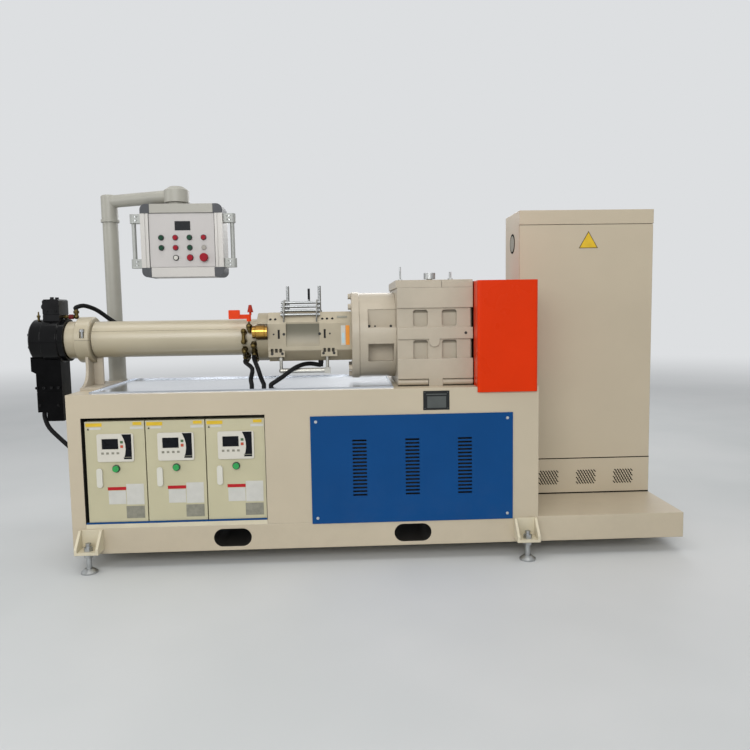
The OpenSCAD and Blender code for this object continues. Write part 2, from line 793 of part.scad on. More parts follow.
module drum_space() {
    bar_x(tip_x + lip_len - fit, 0, axis_z, head_x - tip_x, die_d + 2 * fit);
    bar_x(tip_x + lip_len + die_len - fit, 0, axis_z, drum_len + 2 * fit, drum_d + 2 * fit);
}

block_x = head_x - 25 * kh - head_thick;

module head_block() {
    w = head_width;
    t = head_thick;
    h = head_rise;
    color(black) difference() {
        translate([block_x, w / 2, axis_z]) rotate([90, 0, 0]) linear_extrude(w)
            polygon([[0, h * 0.3], [t, h * 0.3], [t, h - 6], [t - 6, h], [t * 0.1, h], [0, h - 8]]);
        bar_x(block_x - 1, 0, axis_z, t + 2, drum_d + 2 * fit);
        // Step round the block's foot
        for (s = [-1, 1])
            translate([block_x - 1, s * w * 0.5 - 5, axis_z + h * 0.62]) cube([t + 2, 10, 4 * kh]);
    }
}

module head_lower() {
    w = head_width;
    n = head_drop;
    l = lip_len;
    color(black) difference() {
        translate([tip_x, w / 2, axis_z]) rotate([90, 0, 0]) linear_extrude(w)
            polygon([[0, -n * 0.2], [0, -n * 0.375], [l * 2.2, -n * 0.405], [l * 2.2, -n * 0.888],
                [l * 6.6, -n * 0.888],
                [l * 6.6, -n], [l * 14.6, -n], [l * 14.6, -n * 0.888], [l * 14.5, -n * 0.2]]);
        drum_space();
        // Joint line between the body and its foot
        for (s = [-1, 1])
            translate([tip_x - 1, s * w * 0.5 - 3, axis_z - n * 0.64]) cube([l * 20, 6, 4 * kh]);
    }
}

module head_hoses() {
    e = elbow_x;
    z = axis_z;
    b = jacket_d / 2;
    low = axis_z - head_drop * 0.888;
    x = tip_x + lip_len * 4.4;
    y = -head_width * 0.3;
    far_x = fit_x + 21 * kb;
    color(black) {
        hose([[e, 0, union_z + 36 * kb + fit], [e, 0, union_z + 46 * kb],
            [e + 26 * kb, 30 * kb, z + 171 * kb],
            [e + 57 * kb, 70 * kb, z + 158 * kb], [e + 82 * kb, 100 * kb, z + 138 * kb],
            [e + 136 * kb, 126 * kb, z + 91 * kb],
            [e + 220 * kb, 126 * kb, z + 42 * kb], [e + 360 * kb, b + 40 * kb, z + 12 * kb],
            [fit_x - 150 * kb, b + 40 * kb, z],
            [far_x - 30 * kb, b + 44 * kb, z], [far_x, b + 38 * kb, z], [far_x, b + 26 * kb + 2 * fit, z]],
            hose_d, [0.2, -0.7, 0.1]);
        hose([[x, y, low - fit], [x, y, low - 30 * kh], [x + 22 * kh, y - 8 * kh, low - 80 * kh],
            [x + 70 * kh, y - 14 * kh, low - 130 * kh],
            [x + 130 * kh, y - 16 * kh, low - 190 * kh], [left_x - 40 * kh, y - 18 * kh, low - 262 * kh],
            [left_x - 14 * kh, y - 18 * kh, low - 270 * kh],
            [left_x - fit, y - 18 * kh, low - 270 * kh]], hose_d);
    }
}

// Gearbox
module gearbox_bell() {
    r = bell_d / 2;
    win = (bell_len - bell_flange) * 0.7;
    x = bell_x + bell_flange * 2.06;
    color(cream) difference() {
        union() {
            translate([bell_x, 0, axis_z]) rotate([0, 90, 0]) rotate_extrude()
                polygon([[0, 0], [r - 4, 0], [r, 4], [r, bell_flange - 3], [r - 3, bell_flange],
                    [0, bell_flange]]);
            bar_x(bell_x + bell_flange, 0, axis_z, bell_len - bell_flange - fit, bell_d - 10);
        }
        for (s = [-1, 1]) {
            // Deep window below, shallow one above that runs to the gearbox
            translate([x, s * r - r * 0.45, axis_z - r * 0.57]) cube([win, r * 0.9, r * 0.4]);
            translate([x, s * r - r * 0.24, axis_z + r * 0.19])
                cube([bell_x + bell_len + 1 - x, r * 0.48, r * 0.4]);
        }
    }
}

module gearbox_body() {
    w = gear_len;
    d = gear_depth;
    h = gear_height;
    band = h * 0.2;
    low_z = top_z + h * 0.281;
    rib_z = low_z + band;
    up_z = rib_z + h * 0.116;
    pocket_w = w * 0.195;
    bar_h = h * 0.075;
    boss_w = w * 0.145;
    boss_t = band_depth + 4;
    boss_drop = band * 0.12;
    color(cream) difference() {
        union() {
            difference() {
                translate([gear_x, -d / 2, top_z]) cube([w, d, h]);
                for (s = [-1, 1]) {
                    for (z = [low_z, up_z])
                        translate([gear_x - 1, s * d / 2 - band_depth, z])
                            cube([w + 2, 2 * band_depth, band]);
                    // Recess of the foot bars
                    for (x = [-1, w * 0.596])
                        translate([gear_x + x, s * d / 2 - bar_h * 0.6, top_z - 1])
                            cube([w * 0.412, bar_h * 1.2, bar_h + 1]);
                }
            }
            // Half round boss under the rib
            for (y = [-d / 2, d / 2 - boss_t]) {
                bar_y(gear_x + w * 0.488, y, rib_z - boss_drop, boss_t, boss_w);
                translate([gear_x + w * 0.488 - boss_w / 2, y, rib_z - boss_drop])
                    cube([boss_w, boss_t, boss_drop + 1]);
            }
            // Foot bars
            for (s = [-1, 1])
                for (x = [0, w * 0.597])
                    bar_x(gear_x + x, s * (d / 2 - bar_h * 0.42), top_z + bar_h * 0.54, w * 0.403,
                        bar_h * 0.8);
        }
        // Pockets in both bands
        for (s = [-1, 1])
            for (x = [w * 0.21, w * 0.592]) {
                translate([gear_x + x,
                    s * (d / 2 - band_depth - pocket_depth / 2) + pocket_depth / 2 + 1, up_z + band * 0.06])
                    rotate([90, 0, 0]) linear_extrude(pocket_depth + 2)
                        round_rect(pocket_w, band * 0.84, 12 * kg);
                translate([gear_x + x,
                    s * (d / 2 - band_depth - pocket_depth / 2) + pocket_depth / 2 + 1, low_z])
                    rotate([90, 0, 0]) linear_extrude(pocket_depth + 2) {
                        translate([0, band * 0.3]) round_rect(pocket_w, band * 0.64, 12 * kg);
                        square([pocket_w, band * 0.5]);
                    }
            }
        // The ends stand back from the guard at the bands
        for (s = [-1, 1])
            for (z = [low_z, up_z])
                translate([gear_x + w - 10 * kg, s * d / 2 - 40 * kg, z]) cube([12 * kg, 80 * kg, band]);
    }
}

module gearbox_cover() {
    split = gear_len * 0.588;
    edge = 8 * kg;
    color(cream) for (q = [[-6 * kg, split - 1 + 6 * kg], [split + 1, gear_len - split - 1]])
        translate([gear_x + q[0], -gear_depth / 2, top_z + gear_height + fit]) {
            cube([q[1], gear_depth, cover_height - edge]);
            translate([0, edge, cover_height - edge - 1])
                cube([q[1], gear_depth - 2 * edge, edge + 1 - fit]);
        }
}

module gearbox_plugs() {
    z = top_z + gear_height + cover_height + fit;
    color(grey) {
        bar_z(gear_x + gear_len * 0.09, -50 * kg, z, 74 * kg, 9 * kg);
        translate([gear_x + gear_len * 0.09, -50 * kg, z]) cylinder(h = 12 * kg, d = 22 * kg, $fn = 6);
        bar_z(gear_x + gear_len * 0.5, -50 * kg, z, 16 * kg, 30 * kg);
        bar_z(gear_x + gear_len * 0.5, -50 * kg, z + 12 * kg, 30 * kg, 58 * kg);
        bar_z(gear_x + gear_len * 0.79, -50 * kg, z, 46 * kg, 12 * kg);
        translate([gear_x + gear_len * 0.79, -50 * kg, z]) cylinder(h = 14 * kg, d = 26 * kg, $fn = 6);
    }
}

// Belt guard with a lip in front of the base
module drive_guard() {
    z0 = top_z - guard_lap;
    x0 = guard_x;
    r = guard_round;
    color(orange) difference() {
        translate([x0, front_y - guard_proud, z0]) linear_extrude(guard_height)
            round_rect(guard_len, guard_depth, r);
        translate([x0 - 3, front_y - fit, z0 - 1]) cube([guard_len + 6, guard_depth, guard_lap + 1 + fit]);
    }
}

// Cabinet
module cabinet_body() {
    z = deck_z + plinth_height;
    color(cream) {
        translate([cabinet_x, cabinet_y + 14 + fit, z + fit])
            cube([cabinet_width, cabinet_depth - 14 - fit, door_height + header_height]);
        translate([cabinet_x, cabinet_y, z + door_height]) cube([cabinet_width, 20, header_height + fit]);
    }
}

module cabinet_plinth() {
    color(cream) translate([cabinet_x, cabinet_y + 2, deck_z])
        cube([cabinet_width, cabinet_depth - 2, plinth_height]);
}

module cabinet_door() {
    color(cream) translate([cabinet_x + 2, cabinet_y, deck_z + plinth_height + 3])
        cube([cabinet_width - 4, 14, door_height - 6]);
}

// Operator panel
column_x = left_x + 29 * kc;
column_y = back_y - 50 * kc;
arm_z = top_z + arm_height;
shoulder_z = arm_z - 110 * kc;
spigot_d = column_d * 0.66;
spigot_len = column_d * 0.76;
swivel_x = column_x + arm_reach * cos(arm_angle);
swivel_y = column_y - arm_reach * sin(arm_angle);
panel_x = swivel_x + 35 * kp - panel_width / 2;
panel_y = swivel_y - panel_depth / 2;
panel_top = arm_z - arm_d * 0.76;
panel_z = panel_top - panel_height;

module column() {
    color(cream) {
        bar_z(column_x, column_y, top_z, shoulder_z - top_z, column_d);
        bar_z(column_x, column_y, top_z, sleeve_height, sleeve_d);
        bar_z(column_x, column_y, top_z, 12 * kc, sleeve_d + 8 * kc);
        bar_z(column_x, column_y, shoulder_z - 1, spigot_len + 1, spigot_d);
    }
}

module swing_arm() {
    elbow_d = column_d + 6 * kc;
    top = arm_z + arm_d / 2;
    hub = arm_d * 1.9;
    hub_z = panel_top + 14 * kc;
    hub_h = 62 * kc;
    color(cream) difference() {
        union() {
            bar_z(column_x, column_y, shoulder_z + swivel_gap, top - 6 * kc - shoulder_z - swivel_gap,
                elbow_d);
            translate([column_x, column_y, top - 6 * kc])
                cylinder(h = 6 * kc, d1 = elbow_d, d2 = elbow_d - 12 * kc);
            bar_z(column_x, column_y, shoulder_z + swivel_gap, 14 * kc, elbow_d + 10 * kc);
            translate([column_x, column_y, arm_z]) rotate([0, 0, -arm_angle]) rotate([0, 90, 0])
                cylinder(h = arm_reach, d = arm_d);
            bar_z(swivel_x, swivel_y, hub_z, hub_h, hub);
            translate([swivel_x, swivel_y, hub_z + hub_h]) cylinder(h = 19 * kc, d1 = hub, d2 = hub * 0.55);
            bar_z(swivel_x, swivel_y, panel_top + swivel_gap, 15 * kc, hub * 0.75);
        }
        bar_z(column_x, column_y, shoulder_z - 1, spigot_len + 3, spigot_d + 2 * fit);
        bar_z(swivel_x, swivel_y, panel_top - 1, 24 * kc, swivel_pin + 2 * fit);
    }
}

swivel_pin = 36 * kc;
corner = 47 * kp;
header_h = 45 * kp;
side_w = 40 * kp;

// Outline of one corner piece, at the lower left
module corner_shape(r) {
    difference() {
        square([corner, corner]);
        difference() {
            translate([-1, -1]) square([r + 1, r + 1]);
            translate([r, r]) circle(r);
        }
    }
}

module at_corners() {
    for (a = [0, 1])
        for (b = [0, 1])
            translate([a * panel_width, b * panel_height]) mirror([a, 0]) mirror([0, b]) children();
}

module panel_extrude(y, d) {
    translate([panel_x, y + d, panel_z]) rotate([90, 0, 0]) linear_extrude(d) children();
}

// Aluminium case: two side profiles, header and lower bar round a set back face
module panel_box() {
    color(cream) {
        panel_extrude(panel_y + 8, panel_depth - 8) difference() {
            square([panel_width, panel_height]);
            at_corners() translate([-1, -1]) square([corner + 1 + fit, corner + 1 + fit]);
        }
        // Side profiles, each with a groove along it
        for (s = [0, 1])
            translate([s > 0 ? panel_x + panel_width - side_w : panel_x, panel_y, panel_z + corner + fit])
                linear_extrude(panel_height - 2 * corner - 2 * fit) difference() {
                    square([side_w, 9]);
                    translate([side_w * (s > 0 ? 0.32 : 0.56), -1]) square([side_w * 0.12, 4]);
                }
        // Header and lower bar between the corners
        panel_extrude(panel_y + 1, 8) {
            translate([corner + fit, panel_height - header_h])
                square([panel_width - 2 * corner - 2 * fit, header_h]);
            translate([corner + fit, 0]) square([panel_width - 2 * corner - 2 * fit, corner]);
        }
        bar_z(swivel_x, swivel_y, panel_top - 1, 21 * kc, swivel_pin);
    }
}

module panel_corners() {
    color(black) panel_extrude(panel_y, panel_depth) at_corners() corner_shape(corner * 0.62);
}

module panel_face() {
    color("white") translate([panel_x + side_w + 2, panel_y + 4, panel_z + corner + 3])
        cube([panel_width - 2 * side_w - 4, 4 - fit, panel_height - corner - header_h - 6]);
}

module panel_handles() {
    reach = 61 * kp;
    grip_x = 51 * kp;
    color(grey) for (s = [0, 1])
        translate([s > 0 ? panel_x + panel_width : panel_x, panel_y + 22 * kp, panel_z])
            mirror([1 - s, 0, 0]) {
            for (z = [corner, panel_height - header_h - 48 * kp])
                difference() {
                    translate([fit, 0, z]) linear_extrude(46 * kp) {
                        square([reach - 16 * kp, 36 * kp]);
                        translate([reach - 18 * kp, 18 * kp]) circle(d = 36 * kp);
                    }
                    for (h = [0.3, 0.7])
                        translate([18 * kp, -1, z + 46 * kp * h - 2]) cube([20 * kp, 4, 4]);
                }
            bar_z(grip_x - 8 * kp, 18 * kp, corner + 44 * kp, panel_height - corner - header_h - 90 * kp,
                22 * kp);
        }
}

// Push buttons, a selector and a mushroom button, each on its ring
module panel_button(c, r, ring_d, cap_d, cap_h) {
    translate([panel_x + (101.5 + c * 71) * kp, panel_y + 4 - fit, panel_z + (96 + r * 50.5) * kp])
        rotate([90, 0, 0]) {
        cylinder(h = 4 * kp, d = ring_d * kp);
        cylinder(h = cap_h * kp, d = cap_d * kp);
    }
}

module panel_buttons() {
    color(red) {
        for (c = [0 : 3]) panel_button(c, 2, 29, 22, 12);
        for (c = [0 : 2]) panel_button(c, 1, 29, 22, 12);
        panel_button(3, 1, 24, 18, 5);
        panel_button(1, 0, 29, 21, 8);
        panel_button(2, 0, 34, 29, 12);
        panel_button(3, 0, 32, 20, 22);
        translate([panel_x + (101.5 + 213) * kp, panel_y + 4 - 14 * kp, panel_z + 96 * kp]) rotate([90, 0, 0])
            cylinder(h = 12 * kp, d1 = 44 * kp, d2 = 38 * kp);
    }
}

chassis();
base_frame();
foot_brackets();
levelling_feet();
drip_tray();
louvre_panel();
unit_sill();
temp_unit_1();
temp_unit_2();
temp_unit_3();
unit_controllers();
unit_gauges();
barrel_jacket();
barrel_nose();
barrel_clamp();
barrel_support();
neck_flange();
water_fittings();
water_sleeve();
water_valve();
valve_lever();
feed_housing();
guide_brackets();
guide_bars();
cooling_pipe();
water_hoses();
head_block();
head_drum();
head_lower();
head_hoses();
gearbox_bell();
gearbox_body();
gearbox_cover();
gearbox_plugs();
drive_guard();
cabinet_body();
cabinet_plinth();
cabinet_door();
column();
swing_arm();
panel_box();
panel_corners();
panel_face();
panel_handles();
panel_buttons();
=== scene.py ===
# %% [markdown]
# A cold feed extruder is a row of machines on one steel frame: a black crosshead, a long round
# barrel, a feed housing, a gearbox with its belt guard, and behind them a cabinet and an operator
# panel on a swinging arm. The frame already has all the large solids at their true places, so this
# lesson only dresses them: it gives every solid a finish of its own and adds the small things that
# a drawing leaves out, such as screws, displays and bare plates. Loading the solids first, and
# keeping their box, lets the last cell measure how much the dressing made the machine bigger.

import bmesh
import bpy
import math
from mathutils import Matrix, Vector


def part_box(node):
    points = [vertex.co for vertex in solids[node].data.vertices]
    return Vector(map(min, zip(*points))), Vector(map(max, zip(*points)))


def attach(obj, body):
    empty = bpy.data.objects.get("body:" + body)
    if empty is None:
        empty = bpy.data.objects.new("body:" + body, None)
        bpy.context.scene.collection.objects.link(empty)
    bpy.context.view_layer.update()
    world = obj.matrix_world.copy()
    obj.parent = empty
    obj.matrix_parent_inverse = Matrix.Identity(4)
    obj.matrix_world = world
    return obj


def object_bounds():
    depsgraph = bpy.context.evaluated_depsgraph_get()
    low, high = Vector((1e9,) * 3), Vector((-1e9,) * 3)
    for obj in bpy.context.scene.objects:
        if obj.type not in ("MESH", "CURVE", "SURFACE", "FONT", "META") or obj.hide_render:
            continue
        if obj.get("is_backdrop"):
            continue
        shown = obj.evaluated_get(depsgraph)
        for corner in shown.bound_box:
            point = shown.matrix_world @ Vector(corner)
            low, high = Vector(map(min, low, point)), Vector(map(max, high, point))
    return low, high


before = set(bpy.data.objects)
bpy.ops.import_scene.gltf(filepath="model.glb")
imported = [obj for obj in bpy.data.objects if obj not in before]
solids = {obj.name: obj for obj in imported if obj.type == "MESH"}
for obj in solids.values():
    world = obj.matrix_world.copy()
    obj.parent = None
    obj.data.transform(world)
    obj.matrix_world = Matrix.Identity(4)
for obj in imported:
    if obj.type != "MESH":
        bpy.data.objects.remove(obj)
cad_box = [list(corner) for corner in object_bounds()]
print("solids:", len(solids), "box:", [[round(v, 3) for v in corner] for corner in cad_box])

# %% [markdown]
# The camera stands in front of the middle of the machine, a little above the barrel, and has a
# wide lens. Three small angles, in radians, say how it is turned. They could go straight into a
# rotation, but three arrows, to the right, up and ahead, are easier to check: each arrow is a
# column of the matrix.

# %% Set up the camera
standpoint = (-0.020, -3.524, 1.172)
yaw, pitch, roll = 0.0405, -0.0914, -0.016
lens_mm, sensor_mm = 33.12, 36
sky = Vector((0, 0, 1))
level_right = Vector((math.cos(yaw), -math.sin(yaw), 0))
level_ahead = Vector((math.sin(yaw), math.cos(yaw), 0))
ahead = math.cos(pitch) * level_ahead + math.sin(pitch) * sky
upright = -math.sin(pitch) * level_ahead + math.cos(pitch) * sky
to_right = math.cos(roll) * level_right + math.sin(roll) * upright
to_top = -math.sin(roll) * level_right + math.cos(roll) * upright

eye = bpy.data.cameras.new("front_camera")
eye.sensor_width = sensor_mm
eye.lens = lens_mm
eye.clip_end = 200
camera = bpy.data.objects.new("front_camera", eye)
bpy.context.scene.collection.objects.link(camera)
turn = Matrix((to_right, to_top, -ahead)).transposed().to_4x4()
camera.matrix_world = Matrix.Translation(standpoint) @ turn
bpy.context.scene.camera = camera
bpy.context.scene.view_settings.view_transform = "Standard"
print("camera looks along", [round(v, 3) for v in ahead])

# %% [markdown]
# Every finish below is a small graph of shader nodes. Written out node by node such a graph is
# hard to read, so one little class stands for one output socket and knows how to add, multiply
# and compare. Then a mask reads like a formula, and Blender's Math nodes appear by themselves.

# %% A socket that can do sums
class Wire:
    """One output socket of a shader node, with the sums that are made from it."""

    def __init__(self, tree, socket=None):
        self.tree = tree
        self.socket = socket

    def node(self, kind, settings=None, sockets=None, out=0):
        """A new node with its settings and inputs; returns one of its outputs."""
        made = self.tree.nodes.new(kind)
        for name, value in (settings or {}).items():
            setattr(made, name, value)
        for name, value in (sockets or {}).items():
            if isinstance(value, Wire):
                self.tree.links.new(value.socket, made.inputs[name])
            else:
                made.inputs[name].default_value = value
        return Wire(self.tree, made.outputs[out] if len(made.outputs) else None)

    def sum(self, operation, first, second=0.0):
        return self.node("ShaderNodeMath", {"operation": operation}, {0: first, 1: second})

    def __add__(self, other):
        return self.sum("ADD", self, other)

    def __radd__(self, other):
        return self.sum("ADD", other, self)

    def __sub__(self, other):
        return self.sum("SUBTRACT", self, other)

    def __rsub__(self, other):
        return self.sum("SUBTRACT", other, self)

    def __mul__(self, other):
        return self.sum("MULTIPLY", self, other)

    def __truediv__(self, other):
        return self.sum("DIVIDE", self, other)

    def __mod__(self, other):
        return self.sum("FLOORED_MODULO", self, other)

    def __lt__(self, other):
        return self.sum("LESS_THAN", self, other)

    def __gt__(self, other):
        return self.sum("GREATER_THAN", self, other)

    def larger(self, other):
        return self.sum("MAXIMUM", self, other)

    def root(self):
        return self.sum("SQRT", self)

    def size(self):
        return self.sum("ABSOLUTE", self)

    def ramp(self, low, high):
        """0 below low, 1 above high, and a smooth slope between."""
        return self.node("ShaderNodeMapRange", {"interpolation_type": "SMOOTHSTEP"},
                         {"Value": self, "From Min": low, "From Max": high})

    def axis(self, which):
        return self.node("ShaderNodeSeparateXYZ", None, {0: self}, "XYZ".index(which))

    def noise(self, scale, detail=2.0, rough=0.5):
        return self.node("ShaderNodeTexNoise", None,
                         {"Vector": self, "Scale": scale, "Detail": detail, "Roughness": rough})

    def stretched(self, *factors):
        return self.node("ShaderNodeMapping", None, {"Vector": self, "Scale": factors})

    def blend(self, first, second):
        """Two colours mixed by this mask."""
        return self.node("ShaderNodeMix", {"data_type": "RGBA"}, {0: self, 6: first, 7: second}, 2)


def rgb(red, green, blue):
    """A colour from the 0 to 255 numbers of a paint chart, as the linear light that nodes use."""
    light = [v / 12.92 if v <= 0.04045 else ((v + 0.055) / 1.055) ** 2.4
             for v in (red / 255, green / 255, blue / 255)]
    return (*light, 1.0)


print("mid grey in linear light:", round(rgb(128, 128, 128)[0], 3))

# %% [markdown]
# Broad soft light suits painted sheet: tops are bright and fronts a little darker, so that each
# box reads as a box. Two wide lamps hang overhead, one large lamp stands in front, and weaker ones
# stand behind and on the left. The sky shows its pale colour only to rays from the camera and to
# reflections, so the background can be light without pouring more light on the machine.

# %% Floor, sky and lamps
backdrop = rgb(221, 223, 225)
stage_floor = bmesh.new()
bmesh.ops.create_circle(stage_floor, cap_ends=True, segments=96, radius=60,
                        matrix=Matrix.Translation((0, 0, -0.0005)))
floor_mesh = bpy.data.meshes.new("studio_floor")
stage_floor.to_mesh(floor_mesh)
stage_floor.free()
studio_floor = bpy.data.objects.new("studio_floor", floor_mesh)
bpy.context.scene.collection.objects.link(studio_floor)

floor_paint = bpy.data.materials.new("pale_floor")
floor_paint.use_nodes = True
floor_tree = floor_paint.node_tree
floor_tree.nodes.clear()
start = Wire(floor_tree)
ground = start.node("ShaderNodeTexCoord", out=3)
far_away = ground.node("ShaderNodeVectorMath", {"operation": "LENGTH"}, {0: ground}, 1).ramp(3.5, 16.0)
cloudy = ground.noise(0.8, 3.0).ramp(0.3, 0.7)
tone = cloudy.blend(rgb(196, 199, 199), rgb(204, 206, 206))
near = start.node("ShaderNodeBsdfPrincipled", None, {"Base Color": tone, "Roughness": 0.55})
glow = start.node("ShaderNodeEmission", None, {"Color": backdrop, "Strength": 1.0})


def seen(wire):
    """1 for rays from the camera, a reflection or glass, and 0 for the light that falls on things."""
    path = [wire.node("ShaderNodeLightPath", out=name)
            for name in ("Is Camera Ray", "Is Glossy Ray", "Is Transmission Ray")]
    return path[0].larger(path[1]).larger(path[2])


floor_shader = start.node("ShaderNodeMixShader", None, {0: far_away * seen(start), 1: near, 2: glow})
start.node("ShaderNodeOutputMaterial", None, {"Surface": floor_shader})
floor_mesh.materials.append(floor_paint)
studio_floor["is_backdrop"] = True

world = bpy.data.worlds.new("studio_sky")
bpy.context.scene.world = world
world.use_nodes = True
world.node_tree.nodes.clear()
start = Wire(world.node_tree)
dim = start.node("ShaderNodeBackground", None, {"Color": (0.97, 0.98, 1.0, 1.0), "Strength": 0.46})
pale = start.node("ShaderNodeBackground", None, {"Color": backdrop, "Strength": 1.0})
start.node("ShaderNodeOutputWorld", None,
           {"Surface": start.node("ShaderNodeMixShader", None, {0: seen(start), 1: dim, 2: pale})})


def lamp(name, place, aim, size, watts, tint=(1.0, 1.0, 1.0)):
    """A rectangular lamp at a place, turned towards the point aim; sizes in metres."""
    light = bpy.data.lights.new(name, "AREA")
    light.shape = "RECTANGLE"
    light.size, light.size_y = size
    light.energy = watts
    light.color = tint
    made = bpy.data.objects.new(name, light)
    bpy.context.scene.collection.objects.link(made)
    spin = (Vector(aim) - Vector(place)).to_track_quat("-Z", "Y").to_matrix().to_4x4()
    made.matrix_world = Matrix.Translation(place) @ spin


lamp("roof_window_left", (-1.2, -0.6, 4.6), (-0.8, 0, 0.6), (3.2, 1.4), 38, (1.0, 0.99, 0.97))
lamp("roof_window_right", (1.6, -0.2, 4.6), (1.0, 0, 0.6), (2.4, 1.4), 33, (1.0, 0.99, 0.97))
lamp("front_softbox", (-0.8, -5.8, 3.2), (0.1, 0, 0.8), (4.6, 2.6), 188)
lamp("back_softbox", (1.5, 5.5, 3.4), (0, 0, 1.0), (4.0, 2.0), 95)
lamp("left_softbox", (-5.0, -1.5, 2.2), (0, 0, 1.0), (1.6, 2.0), 34)

# %% [markdown]
# Most finishes here are a coat of something on metal. One function builds the common part: a base
# colour that drifts slightly from place to place, a roughness that drifts with it, a fine grain in
# the surface, dust that settles low down, and edges that catch the light. The Bevel node rounds
# the normals near an edge, and where they differ from the flat ones the colour turns lighter:
# partly paint thinned by wear, partly a painted highlight.

# %% The common part of every finish
finishes = {}
dust_colour = rgb(128, 120, 104)


def finish(name, colour, rough, metal=0.0, coat=0.0, drift=0.05, drift_scale=2.5, grain=700.0,
           depth=0.00004, dust=0.0, edge=0.0, edge_wear_and_highlight=None, streak=None, marks=None, shine=0.5):
    """A material: colour, roughness and grain that vary, with marks as (mask, colour, roughness)."""
    made = bpy.data.materials.new(name)
    made.use_nodes = True
    tree = made.node_tree
    tree.nodes.clear()
    start = Wire(tree)
    place = start.node("ShaderNodeTexCoord", out=3)
    clouds = place.noise(drift_scale, 4.0, 0.6).ramp(0.25, 0.75)
    darker = tuple(v * (1 - 1.6 * drift) for v in colour[:3]) + (1.0,)
    lighter = tuple(min(1.0, v * (1 + drift)) for v in colour[:3]) + (1.0,)
    tone = clouds.blend(darker, lighter)
    gloss = rough + (clouds - 0.5) * 0.10
    fine = place.stretched(*streak) if streak else place
    relief = fine.noise(grain, 3.0, 0.6)
    normal = None
    if edge:
        normal = start.node("ShaderNodeBevel", {"samples": 6}, {"Radius": edge})
        flat = start.node("ShaderNodeNewGeometry", out=1)
        bent = 1 - start.node("ShaderNodeVectorMath", {"operation": "DOT_PRODUCT"}, {0: normal, 1: flat}, 1)
        # Edges get a lighter colour: partly wear, partly a painted highlight.
        wear_and_highlight_mask = bent.ramp(0.02, 0.22) * place.noise(40.0, 3.0).ramp(0.35, 0.65)
        tone = (wear_and_highlight_mask * 0.55).blend(tone, edge_wear_and_highlight or lighter)
    if dust:
        low = 1 - place.axis("Z").ramp(0.05, 0.55)
        settled = (low * place.noise(9.0, 5.0, 0.7).ramp(0.35, 0.8)) * dust
        tone = settled.blend(tone, dust_colour)
        gloss = gloss + settled * 0.25
    if streak:
        tone = (relief.ramp(0.3, 0.7) * 0.25).blend(tone, darker)
        gloss = gloss + (relief - 0.5) * 0.12
    for mask, mark_colour, mark_rough in (marks(place) if marks else []):
        tone = mask.blend(tone, mark_colour)
        gloss = gloss * (1 - mask) + mask * mark_rough
    bump_sockets = {"Strength": 0.35, "Distance": depth, "Height": relief}
    if normal:
        bump_sockets["Normal"] = normal
    bump = start.node("ShaderNodeBump", None, bump_sockets)
    shader = start.node("ShaderNodeBsdfPrincipled", None,
                        {"Base Color": tone, "Roughness": gloss, "Metallic": metal,
                         "Specular IOR Level": shine, "Coat Weight": coat, "Coat Roughness": 0.12,
                         "Normal": bump})
    start.node("ShaderNodeOutputMaterial", None, {"Surface": shader})
    finishes[name] = made
    return made


def dress(material, *names):
    """Gives solids of the frame their finish; returns how many there were."""
    for name in names:
        mesh = solids[name].data
        mesh.materials.clear()
        mesh.materials.append(material)
    return len(names)


print("finish helper ready")

# %% [markdown]
# Some solids get painted shade in places: inside a recess, on a low slope, under the upper edge
# of a pocket. A painted picture could show it, but a formula of the coordinates stays sharp from
# near by and needs no unwrapping. A mask is 0 where nothing changes and up to 1 where the mark is
# strongest. Where a mark repeats along the machine, the coordinate is folded by the pitch, with
# the remainder of a division.

# %% Masks for the places that differ
def inside(p, low, high):
    """1 in a box given by two corners in mm, and 0 outside it."""
    sides = [(p.axis(name) > first / 1000) * (p.axis(name) < last / 1000)
             for name, first, last in zip("XYZ", low, high)]
    return sides[0] * sides[1] * sides[2]


def painted_shade_inside(p):
    """Painted shade inside the recess of the units, the space behind the louvres and the fork pockets."""
    recess = ((-1242.5, -349.5, 189), (-404.5, 300, 707.5))
    behind_louvres = ((-166.5, -349.5, 224), (722.5, -280, 660))
    pockets = [((x - 88, -349.5, 87), (x + 88, 349.5, 173)) for x in (-569, 277)]
    # The dark colour is painted shade in these hollows.
    return [(inside(p, *corners), rgb(38, 35, 31), 0.65)
            for corners in (recess, behind_louvres, *pockets)]


def housing_painted_shade(p):
    """Painted shade in the scoop, on the lower slopes, and inside the keyways and lug notches."""
    keyway_pitch, keyway_width = 0.225, 0.011
    lug_pitch, lug_width = 0.257912, 0.056
    notch_pitch, notch_width = 0.021, 0.0132
    across, depth, height = p.axis("X"), p.axis("Y").size(), p.axis("Z")
    low_slope_shade = (1 - height.ramp(0.982, 0.992)) * (depth < 0.1175)
    scoop = (depth < 0.1205) * (depth > 0.05) * inside(p, (-315.5, -300, 990), (-152.5, 300, 1119))
    scoop = scoop * (height.ramp(1.02, 1.09) * 0.6 + 0.3)
    keyways = (across + 0.3565) % keyway_pitch < keyway_width
    keyways = keyways * (depth < 0.1208) * (depth > 0.1) * inside(p, (-360, -300, 1046), (-120, 300, 1092))
    along_lug = (across + 0.39223) % lug_pitch
    notches = (along_lug < lug_width) * (along_lug % notch_pitch < notch_width)
    notches = notches * (depth < 0.1178) * (depth > 0.1)
    notches = notches * inside(p, (-400, -300, 978.5), (0, 300, 997.5))
    # Slopes, scoop, keyways and notches are all painted shade.
    return [(low_slope_shade * 0.7, rgb(138, 127, 103), 0.5), (scoop, rgb(101, 99, 85), 0.45),
            (keyways, rgb(26, 24, 22), 0.6), (notches * 0.85, rgb(58, 54, 46), 0.6)]


def underside_shade(p):
    """Round parts get painted shade underneath: darker towards the bottom."""
    return [((1 - p.axis("Z").ramp(0.955, 1.075)) * 0.5, rgb(107, 93, 58), 0.4)]


